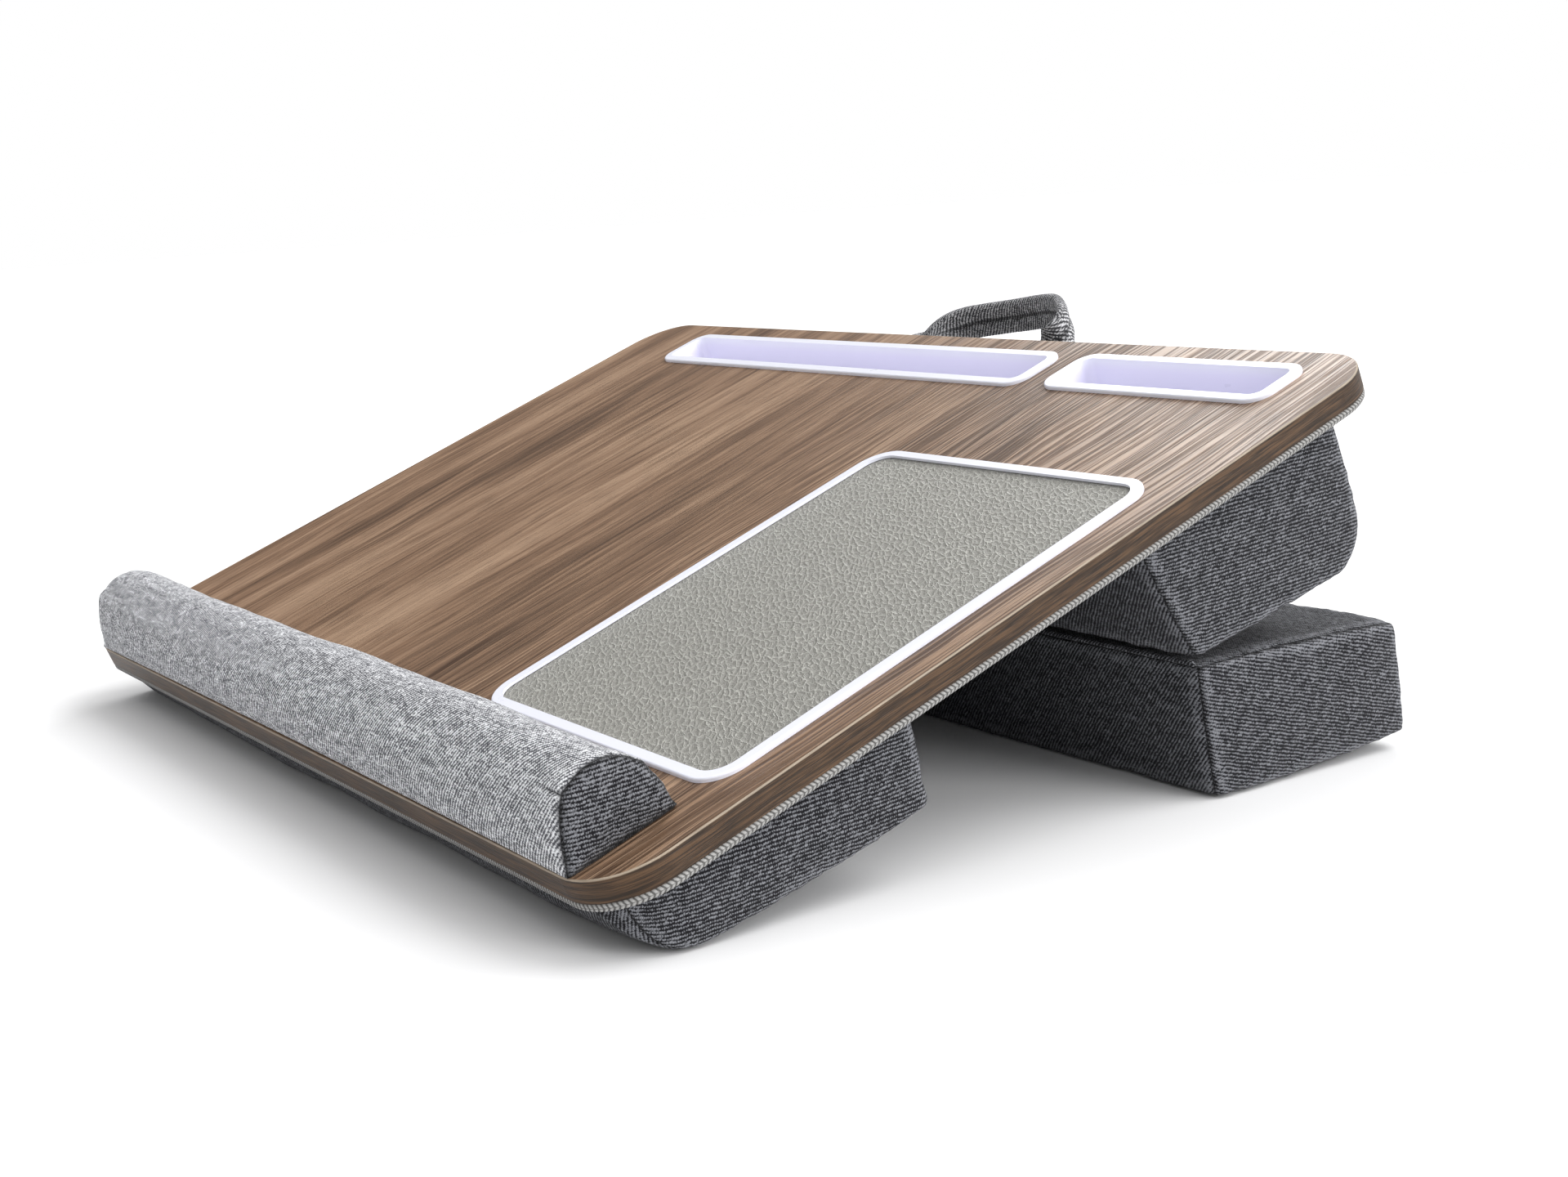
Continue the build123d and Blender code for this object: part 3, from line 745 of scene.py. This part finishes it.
def map_cloth(bm, cube, spots, section):
    """Gives the cloth its own map, in metres: round the wrap, and flat on the ends."""
    weave = bm.loops.layers.uv.new("weave")
    for face in bm.faces:
        centre = sum((cube[vert.index] for vert in face.verts), Vector()) / len(face.verts)
        if abs(centre.x) > 1 - 1e-6:
            face.material_index = 1
            for loop in face.loops:
                y, z = loop.vert.co.y, loop.vert.co.z
                loop[weave].uv = (y * 0.82 + z * 0.57, z * 0.82 - y * 0.57)
            continue
        side = side_of(centre.y, centre.z)
        for loop in face.loops:
            spot = spots[loop.vert.index]
            t = side_share(side, spot.v, spot.w)
            loop[weave].uv = (loop.vert.co.x, section.point(spot.u, side, t)[1])


def sew(bm, spots, section, seams, seed, form):
    """Dips the cloth into its seams, puckers it beside them and makes its faces uneven.

    The points carry how dark the seam is on them, as seam, and how much painted highlight the puckered cloth
    beside the seams gets, as the other attribute.
    """
    seam_layer = bm.verts.layers.float.new("seam")
    pucker_highlight_layer = bm.verts.layers.float.new("pucker_highlight")
    flat_top = section.bulges[section.parts["top"][0]] == 0
    bm.normal_update()
    normals = [vert.normal.copy() for vert in bm.verts]
    for vert, spot, normal in zip(bm.verts, spots, normals):
        x, y, z = vert.co
        along_seam = spot.walked if spot.on_end or spot.to_end < 30 * mm else x
        distance = spot.to_rim if spot.on_end else spot.to_end
        # Distance to the lengthwise seams, measured round the wrap
        gaps = [math.hypot((spot.v - v) * 0.05, (spot.w - w) * 0.03) for v, w in seams]
        long_distance = 1.0 if spot.on_end else min(gaps)
        long_weight = 0.8
        if section.soft:
            long_weight = math.exp(-((spot.to_end / (12 * mm)) ** 2)) if x > 0 else 0.0
        shade = pucker_highlight = offset = 0.0
        for d, s, weight in ((distance, along_seam, 1.0), (long_distance, x, long_weight)):
            stitch = 0.75 + 0.5 * noise.noise(Vector((s * 330, seed, 3.0)))
            shade = max(shade, math.exp(-((d / (section.seam_width * stitch)) ** 2)) * weight)
            offset -= form.seam_depth * weight * math.exp(-d / (1.8 * mm))
            ridge = noise.noise(Vector((s * 115, seed, d * 12)))
            ridge += 0.6 * noise.noise(Vector((s * 260, seed + 7, d * 20)))
            fade = math.exp(-((d / form.pucker_reach) ** 1.4)) * min(1, d / (1.2 * mm) + 0.25)
            # A band a little off each seam gets a painted highlight, where the puckered cloth would catch the
            # light; it is weaker on the soft wrist rest.
            highlight_band = math.exp(-(((d - 3.4 * mm) / (2.4 * mm)) ** 2)) * (0.4 if section.soft else 1)
            pucker_highlight = max(pucker_highlight, highlight_band * (0.65 + 0.7 * noise.noise(Vector((s * 90, seed, 9.0)))))
            offset += form.pucker * weight * ridge * fade
        soft = noise.noise(Vector((x * 14, y * 22, z * 22 + seed)))
        soft += 0.5 * noise.noise(Vector((x * 38, y * 46, z * 46 + seed)))
        offset += form.softness * soft * min(1, (distance + 3 * mm) / (12 * mm))
        if spot.side == "top" and flat_top and not spot.on_end:
            offset = 0.0
        if section.soft:
            offset *= clamped((z - 1.0 * mm) / (3 * mm))
        vert[seam_layer], vert[pucker_highlight_layer] = shade, pucker_highlight
        vert.co += normal * offset


def settle(bm, place, floor=None):
    """Puts a shape in the row frame and presses flat what would sink into the floor."""
    bm.transform(place)
    if floor is not None:
        for vert in bm.verts:
            if vert.co.z < floor:
                vert.co.z = floor


def clear_of_foam(bm, node, gap=0.7 * mm):
    """Keeps the cloth just outside the foam core that it covers."""
    mesh = frame["nodes"][node].data
    core = BVHTree.FromPolygons(
        [vert.co for vert in mesh.vertices], [tuple(face.vertices) for face in mesh.polygons]
    )
    for vert in bm.verts:
        hit, normal, _, far = core.find_nearest(vert.co, 6 * mm)
        if hit is None:
            continue
        inside = (vert.co - hit).dot(normal) < 0
        if inside or far < gap:
            vert.co = hit + normal * gap


def clear_of_trays(bm):
    """Presses the cloth down below the wells of the two trays, which reach into the cushion."""
    back = board.inverted()
    for node in ("long_tray", "short_tray"):
        spots = [back @ vert.co for vert in frame["nodes"][node].data.vertices]
        left, right = min(p.x for p in spots) + 1.3 * mm, max(p.x for p in spots) - 1.3 * mm
        front, below = min(p.y for p in spots) + 2.7 * mm, min(p.z for p in spots) - 0.15 * mm
        for vert in bm.verts:
            spot = back @ vert.co
            if left < spot.x < right and spot.y > front and spot.z > below:
                vert.co = board @ Vector((spot.x, spot.y, below))


# The section frame's X, Y and Z are the row's, so a section of the board turns with the board
board_sections = {
    "front_cushion": Section(
        [(5.0, -10.8), (25.0, -41.4), (130.3, -49.0), (136.6, -10.8)], [8.2, 4.0, 0.8, 0]
    ),
    "rear_cushion": Section(
        [(252.5, -10.8), (263.1, -66.9), (350.0, -75.6), (366.5, -52.1), (366.5, -10.8)],
        [0.8, 1.6, 5.0, 0.8, 0],
        {"front": [0], "bottom": [1], "back": [2, 3], "top": [4]},
        ends=(0.55, 0.55, 1.0, 0.55, 0.55),
    ),
    "wrist_rest": Section(
        [(9.7, 27.7), (0.3, 0.5), (46.3, 0.5), (41.9, 22.5)],
        [5.0, 0, 1.8, 9.3],
        ends=(0.35, 1.0, 0.8, 0.72),
        soft=8.0,
        seam_width=2.2,
    ),
}


def folding_section():
    """Outline of the folding cushion on the floor, from the hinge line and the floor."""
    y, z = fold_line.y / mm, fold_line.z / mm
    bottom_bulge, rise = 4.2, 6.5
    lift = (4 * bottom_bulge - rise) ** 2 / (16 * bottom_bulge) - 0.8 - 0.5
    corners = [(y + 1.1, z - 1.1), (y + 9.5, lift), (y + 121.0, lift + rise), (y + 114.5, z - 1.5)]
    return Section(corners, [0.8, bottom_bulge, 1.4, 2.4])


def plan_round(bm, front, half, radius):
    """Rounds the two front corners of a cushion in plan, as its end panels curve into its nose."""
    for vert in bm.verts:
        x, y = vert.co.x, vert.co.y
        across, deep = abs(x) - (half - radius), (front + radius) - y
        if across > 0 and deep > 0:
            reach = math.hypot(across, deep)
            if reach > radius:
                vert.co.x = math.copysign((half - radius) + across * radius / reach, x)
                vert.co.y = (front + radius) - deep * radius / reach


def smooth_path(points, start_way, end_way):
    """A function from 0 to 1 along a smooth curve through points."""
    ways = []
    for k, point in enumerate(points):
        if k == 0:
            ways.append(start_way * (points[1] - point).length)
        elif k == len(points) - 1:
            ways.append(end_way * (point - points[k - 1]).length)
        else:
            ways.append((points[k + 1] - points[k - 1]) / 2)
    samples = []
    steps = 60
    for k in range(len(points) - 1):
        for n in range(steps):
            t = n / steps
            a, b = points[k], points[k + 1]
            samples.append(
                a * (2 * t**3 - 3 * t**2 + 1)
                + ways[k] * (t**3 - 2 * t**2 + t)
                + b * (3 * t**2 - 2 * t**3)
                + ways[k + 1] * (t**3 - t**2)
            )
    samples.append(points[-1].copy())
    walked = [0.0]
    for a, b in zip(samples, samples[1:]):
        walked.append(walked[-1] + (b - a).length)

    def at(share):
        goal = share * walked[-1]
        high = min(bisect_right(walked, goal), len(walked) - 1)
        start, end = samples[high - 1], samples[high]
        t = (goal - walked[high - 1]) / (walked[high] - walked[high - 1])
        return start.lerp(end, t), (end - start).normalized()

    return at, walked[-1]


# Operators


class LAPTRAY_OT_board(bpy.types.Operator):
    """Gives the core, the laminate, the edge strip and the hidden tapes, backing, hook strips and foam their
    finishes
    """

    bl_idname = "lap_tray.board"
    bl_label = "Board"

    def execute(self, context):
        wear(core_board(), "top_board")
        wear(wood_grain(), "wood_laminate")
        wear(wood_edge(), "edge_band")
        for node in ("wrist_rest_tape", "mouse_pad_backing"):
            wear(hidden_sheet(f"{node}_finish", (0.06, 0.06, 0.062)), node)
        hooks = hidden_sheet("hook_and_loop", (0.03, 0.03, 0.033))
        wear(hooks, "stow_hook_strips", "stow_loop_strips")
        wear(foam_block(), *(node for node in frame["nodes"] if node.endswith("_foam")))
        return {"FINISHED"}


class LAPTRAY_OT_trays(bpy.types.Operator):
    """Gives the two trays and the mouse pad's frame their moulded plastic"""

    bl_idname = "lap_tray.trays"
    bl_label = "Trays and Frame"

    def execute(self, context):
        wear(glossy_plastic(), "long_tray", "short_tray", "mouse_pad_frame")
        return {"FINISHED"}


class LAPTRAY_OT_mouse_pad(bpy.types.Operator):
    """Gives the mouse pad its grained leather"""

    bl_idname = "lap_tray.mouse_pad"
    bl_label = "Mouse Pad"

    def execute(self, context):
        wear(grained_leather(), "mouse_pad_leather")
        return {"FINISHED"}


class LAPTRAY_OT_piping(bpy.types.Operator):
    """Makes the woven bead that runs all round below the board's edge"""

    bl_idname = "lap_tray.piping"
    bl_label = "Edge Bead"

    def execute(self, context):
        low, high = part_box("edge_piping")
        radius = 1.9 * mm
        corner = board_corner - radius
        half_x, half_y = (high.x - low.x) / 2 - board_corner, board_depth / 2 - board_corner
        hubs = [
            Vector((half_x * across, half_y * deep, 0))
            for across, deep in ((1, -1), (1, 1), (-1, 1), (-1, -1))
        ]
        # Straight runs and corners by turns, from the right front corner backwards
        quarter = corner * math.pi / 2
        runs = [2 * half_y, quarter, 2 * half_x, quarter] * 2
        stitches = round(sum(runs) / settings().fabric.bead_pitch)
        bm = bmesh.new()
        bmesh.ops.create_grid(bm, x_segments=stitches * 5, y_segments=14, size=1)
        map_points(bm, lambda vert: ((vert.co.x + 1) / 2 * stitches, (vert.co.y + 1) / 2))
        for vert in bm.verts:
            share, girth = (vert.co.x + 1) / 2, (vert.co.y + 1) / 2
            slope = abs((girth + 0.5) % 1.0 - 0.5) * 2
            bulge = abs(math.sin(math.pi * (share * stitches + slope * bead_slant)))
            groove = 1 - 0.5 * math.exp(-((slope - 0.02) ** 2) / 0.004)
            size = radius * (0.92 + 0.08 * bulge * groove)
            walk, k = share * sum(runs), 0
            while k < 7 and walk > runs[k]:
                walk -= runs[k]
                k += 1
            at_corner = k % 2
            turn = (k // 2) * math.pi / 2 + at_corner * walk / corner
            out = Vector((math.cos(turn), math.sin(turn), 0))
            way = Vector((-out.y, out.x, 0))
            centre = hubs[(k + 1) // 2 % 4] + out * corner + way * ((1 - at_corner) * walk)
            centre += Vector((0, board_depth / 2, core_level - radius))
            angle = girth * math.tau
            vert.co = centre + (out * math.cos(angle) + Vector((0, 0, 1)) * math.sin(angle)) * size
        bmesh.ops.remove_doubles(bm, verts=bm.verts, dist=1e-5)
        bmesh.ops.recalc_face_normals(bm, faces=bm.faces)
        bm.transform(board)
        publish(bm, "edge_bead", [bead_braid()], "board", ("edge_piping",))
        return {"FINISHED"}


class LAPTRAY_OT_wrist_rest(bpy.types.Operator):
    """Makes the padded wrist rest"""

    bl_idname = "lap_tray.wrist_rest"
    bl_label = "Wrist Rest"

    def execute(self, context):
        cloth, form = settings().fabric, settings().form
        low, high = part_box("wrist_rest_cover")
        section = board_sections["wrist_rest"]
        half, cuts = (high.x - low.x) / 2, (form.detail, 30, 24)
        bm = cushion(section, half, cuts, [(-1, 1)], 3.0, form, crown=1.5 * mm)
        settle(bm, board)
        clear_of_foam(bm, "wrist_rest_foam")
        yarns = cloth.rest_dark, cloth.rest_light, 1.5 * mm
        wrap = twill("wrist_rest_cloth", *yarns, light_share=0.64, ribbed=0.85, mottle=1.2)
        ends = cushion_twill("wrist_rest_end_cloth", light_share=0.58)
        replaced = ("wrist_rest_cover", "wrist_rest_end_left", "wrist_rest_end_right")
        piece = publish(bm, "wrist_rest", [wrap, ends], "board", replaced)
        return {"FINISHED"}


class LAPTRAY_OT_cushions(bpy.types.Operator):
    """Makes the front, the rear and the folding cushion"""

    bl_idname = "lap_tray.cushions"
    bl_label = "Cushions"

    def execute(self, context):
        form = settings().form
        finish = cushion_twill("cushion_cloth")
        front, rear = board_sections["front_cushion"], board_sections["rear_cushion"]
        folding, still = folding_section(), Matrix.Identity(4)
        below, around = [(-1, -1), (1, -1)], [(-1, -1), (1, -1), (1, 1), (-1, 1)]
        for name, section, place, body, seams, seed in (
            ("front_cushion", front, board, "board", below, 11.0),
            ("rear_cushion", rear, board, "board", below[:1], 23.0),
            ("folding_cushion", folding, still, "folding_cushion", around, 37.0),
        ):
            low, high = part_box(f"{name}_cover")
            half = (high.x - low.x) / 2
            bm = cushion(section, half, (form.detail, 56, 30), seams, seed, form)
            if name == "front_cushion":
                plan_round(bm, 5.0 * mm, half + 2.4 * mm, 22 * mm)
            settle(bm, place, 0.0)
            clear_of_foam(bm, f"{name}_foam")
            if name == "rear_cushion":
                clear_of_trays(bm)
            replaced = (f"{name}_cover", f"{name}_end_left", f"{name}_end_right")
            piece = publish(bm, name, [finish, finish], body, replaced)
        wear(twill_flat("underside_cloth"), "underside_cover")
        return {"FINISHED"}


class LAPTRAY_OT_hinge(bpy.types.Operator):
    """Makes the sewn welt that the folding cushion turns on"""

    bl_idname = "lap_tray.hinge"
    bl_label = "Hinge Welt"

    def execute(self, context):
        low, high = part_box("hinge_seam")
        half, radius = (high.x - low.x) / 2, (high.z - low.z) / 2
        bm = bmesh.new()
        bmesh.ops.create_grid(bm, x_segments=260, y_segments=12, size=1)
        map_points(bm, lambda vert: (vert.co.x * half, (vert.co.y + 1) * math.pi * radius))
        for vert in bm.verts:
            x, angle = vert.co.x * half, (vert.co.y + 1) * math.pi
            size = radius * (0.93 + 0.06 * noise.noise(Vector((x * 120, angle, 2.0))))
            vert.co = fold_line + Vector((x, math.cos(angle) * size, math.sin(angle) * size))
        bmesh.ops.remove_doubles(bm, verts=bm.verts, dist=1e-6)
        rims = [edge for edge in bm.edges if edge.is_boundary]
        bmesh.ops.holes_fill(bm, edges=rims, sides=0)
        bmesh.ops.recalc_face_normals(bm, faces=bm.faces)
        publish(bm, "hinge_welt", [cushion_twill("hinge_cloth")], "board", ("hinge_seam",))
        return {"FINISHED"}


def strap_form(root):
    """The padded strap, which lies flat at its sewn roots and stands on edge at the grip."""
    swell, reach, rise = 13 * mm, 39 * mm, 13 * mm
    # Outward swell, reach and rise, as shares, from the right root round to the left one
    shares = (
        (0.75, 0.40, 0.75),
        (-0.9, 0.84, 0.9),
        (-4.0, 1.0, 0.45),
        (-7.1, 0.84, 0.2),
        (-8.75, 0.4, 0.1),
    )
    start, end = (Vector((side * strap_middle, root.y, root.z)) for side in (1, -1))
    bends = [start + Vector((swell * a, reach * b, rise * c)) for a, b, c in shares]
    at, span = smooth_path([start, *bends, end], Vector((0, 1, 0)), Vector((0, -1, 0)))
    grip_width, root_thick, grip_thick = 18 * mm, 3.2 * mm, 5.4 * mm
    bm, cube = block((180, 22, 8))
    seam_layer = bm.verts.layers.float.new("seam")
    for vert, place in zip(bm.verts, cube):
        share, v, w = (place.x + 1) / 2, crowd(place.y, 0.45), place.z
        centre, way = at(share)
        across = Vector((0, 0, 1)).cross(way).normalized()
        twist = min(1, 9.0 * max(0, share - 0.012), 3.4 * max(0, 1 - share - 0.06))
        twist = twist * twist * (3 - 2 * twist)
        half_width = (strap_width + (grip_width - strap_width) * twist) / 2
        half_thick = (root_thick + (grip_thick - root_thick) * twist) / 2
        turned = twist * math.pi / 2
        wide = across * math.cos(turned) + way.cross(across) * math.sin(turned)
        # Two stuffed halves with a sewn line between them
        lobe = (abs(v) - 0.5) / 0.5
        full = 0.30 + 0.70 * math.sqrt(max(0.0, 1 - lobe**2 * 0.92))
        ripple = noise.noise(Vector((share * span * 90, v * 2.4, w * 0.4)))
        offset = w * (half_thick * full + ripple * 0.25 * mm)
        edge_round = 1 - 0.06 * (w**2 if abs(place.y) > 1 - 1e-6 else 0)
        vert.co = centre + wide * (v * half_width * edge_round) + way.cross(wide) * offset
        vert[seam_layer] = math.exp(-((v * half_width / (0.9 * mm)) ** 2)) * abs(w)

    def on_cloth(vert):
        place = cube[vert.index]
        edge = place.z * 2 * mm if abs(place.y) > 0.999 else 0
        return (place.x + 1) / 2 * span, place.y * 9 * mm + edge

    map_points(bm, on_cloth)
    bmesh.ops.recalc_face_normals(bm, faces=bm.faces)
    bm.transform(board)
    return bm


def tab_form(root):
    """The strap's two sewn ends: a stepped outline, extruded to the strap's width and softened."""
    bm = bmesh.new()
    shelf = board_depth - 3.9 * mm
    front, back = shelf - 13 * mm, root.y - 2.4 * mm
    top, bottom = -13.5 * mm, -15.5 * mm
    depths = (front, front, back, back, shelf, shelf)
    levels = (cover_level, bottom, bottom, top, top, cover_level)
    for side in (-1, 1):
        left = side * strap_middle - strap_width / 2
        face = bm.faces.new([bm.verts.new((left, y, z)) for y, z in zip(depths, levels)])
        grown = bmesh.ops.extrude_face_region(bm, geom=[face])
        moved = [g for g in grown["geom"] if isinstance(g, bmesh.types.BMVert)]
        bmesh.ops.translate(bm, verts=moved, vec=(strap_width, 0, 0))
    bmesh.ops.recalc_face_normals(bm, faces=bm.faces)
    edges = list(bm.edges)
    bmesh.ops.bevel(
        bm, geom=edges, offset=0.35 * mm, segments=2, profile=0.5, affect="EDGES", material=-1
    )
    map_points(bm, lambda vert: (vert.co.x, vert.co.y + vert.co.z))
    bm.transform(board)
    return bm


class LAPTRAY_OT_handle(bpy.types.Operator):
    """Makes the padded strap handle and its two sewn tabs"""

    bl_idname = "lap_tray.handle"
    bl_label = "Handle"

    def execute(self, context):
        root = board.inverted() @ swing_line
        dark, light = (0.045, 0.046, 0.05), (0.66, 0.66, 0.68)
        finish = twill("strap_cloth", dark, light, 1.7 * mm, light_share=0.55)
        strap = publish(strap_form(root), "handle", [finish], "handle", ("handle_strap",))
        publish(tab_form(root), "handle_tab_cloth", [finish], "board", ("handle_tabs",))
        return {"FINISHED"}


def place_light(name, kind, towards, place=(0, 0, 0), **looks):
    """A light that shines from the way towards which it stands."""
    light = bpy.data.lights.new(name, kind)
    for key, value in looks.items():
        setattr(light, key, value)
    add_object(name, light, place, Vector(towards).to_track_quat("Z", "Y").to_euler())


def studio_sky(brightness):
    """A world that is white where the camera looks and lights softly from above and the right."""
    world = bpy.data.worlds.new("studio_sky")
    s = Shader("studio_sky", world)
    brightest = Vector((0.60, 0.12, 0.79)).normalized()
    inputs = {0: s.add("ShaderNodeTexCoord"), 1: brightest}
    aim = s.add("ShaderNodeVectorMath", {"operation": "DOT_PRODUCT"}, inputs, output=1)
    dark_side = 0.06
    glow = (s.ease(aim, -0.45, 0.95) * (1 - dark_side) + dark_side) * brightness
    strength = s.math("MAXIMUM", glow, s.add("ShaderNodeLightPath"))
    inputs = {"Color": (1, 1, 1, 1), "Strength": strength}
    surface = s.add("ShaderNodeBackground", {}, inputs)
    s.add("ShaderNodeOutputWorld", {}, {"Surface": surface})
    return world


class LAPTRAY_OT_stage(bpy.types.Operator):
    """Sets up the pale floor, the soft studio light and the camera"""

    bl_idname = "lap_tray.stage"
    bl_label = "Stage"

    def execute(self, context):
        stage = settings().stage
        scene = context.scene
        bm = bmesh.new()
        bmesh.ops.create_grid(bm, x_segments=2, y_segments=2, size=12)
        floor = add_object("studio_floor", bpy.data.meshes.new("studio_floor"))
        bm.to_mesh(floor.data)
        bm.free()
        floor.data.materials.append(floor_paint())
        scene.world = studio_sky(stage.sky)
        for name, towards, spread, share in (
            ("key_light", (0.55, 0.70, 1.30), 38, 1.0),
            ("top_light", (-0.25, -0.10, 1.0), 60, 0.35),
            ("side_light", (1.0, 0.30, 0.42), 32, 1.15),
        ):
            energy = stage.key_power * share
            place_light(name, "SUN", towards, energy=energy, angle=math.radians(spread))
        panel = (-1.30, 1.55, 1.45)
        looks = {"shape": "DISK", "size": 1.2, "energy": stage.sheen_power}
        place_light("sheen_panel", "AREA", panel, panel, **looks)
        lens = bpy.data.cameras.new("photo_camera")
        lens.lens = stage.lens
        lens.sensor_width = 36
        lens.sensor_fit = "HORIZONTAL"
        lens.clip_start = 0.05
        scene.camera = add_object("photo_camera", lens, stage.camera_place, stage.camera_turn)
        scene.view_settings.view_transform = "Standard"
        return {"FINISHED"}


class LAPTRAY_PT_panel(bpy.types.Panel):
    """Lists the pieces of the lap tray and their settings"""

    bl_label = "Lap Tray"
    bl_idname = "LAPTRAY_PT_panel"
    bl_space_type = "VIEW_3D"
    bl_region_type = "UI"
    bl_category = "Lap Tray"

    def draw(self, context):
        for step in steps:
            self.layout.operator(step.bl_idname)
        for group in (settings().board, settings().fabric, settings().form, settings().stage):
            box = self.layout.box()
            for name in group.__annotations__:
                box.prop(group, name)


steps = (
    LAPTRAY_OT_board,
    LAPTRAY_OT_trays,
    LAPTRAY_OT_mouse_pad,
    LAPTRAY_OT_piping,
    LAPTRAY_OT_wrist_rest,
    LAPTRAY_OT_cushions,
    LAPTRAY_OT_hinge,
    LAPTRAY_OT_handle,
    LAPTRAY_OT_stage,
)
classes = (
    BoardFinish,
    FabricFinish,
    CushionForm,
    StageForm,
    LapTraySettings,
    *steps,
    LAPTRAY_PT_panel,
)


def register():
    for each in classes:
        bpy.utils.register_class(each)
    bpy.types.Scene.lap_tray = PointerProperty(type=LapTraySettings)


def unregister():
    del bpy.types.Scene.lap_tray
    for each in reversed(classes):
        bpy.utils.unregister_class(each)


def main():
    """Builds the whole scene."""
    register()
    bpy.ops.lap_tray.board()
    bpy.ops.lap_tray.trays()
    bpy.ops.lap_tray.mouse_pad()
    bpy.ops.lap_tray.piping()
    bpy.ops.lap_tray.wrist_rest()
    bpy.ops.lap_tray.cushions()
    bpy.ops.lap_tray.hinge()
    bpy.ops.lap_tray.handle()
    bpy.ops.lap_tray.stage()


if __name__ == "__main__":
    main()
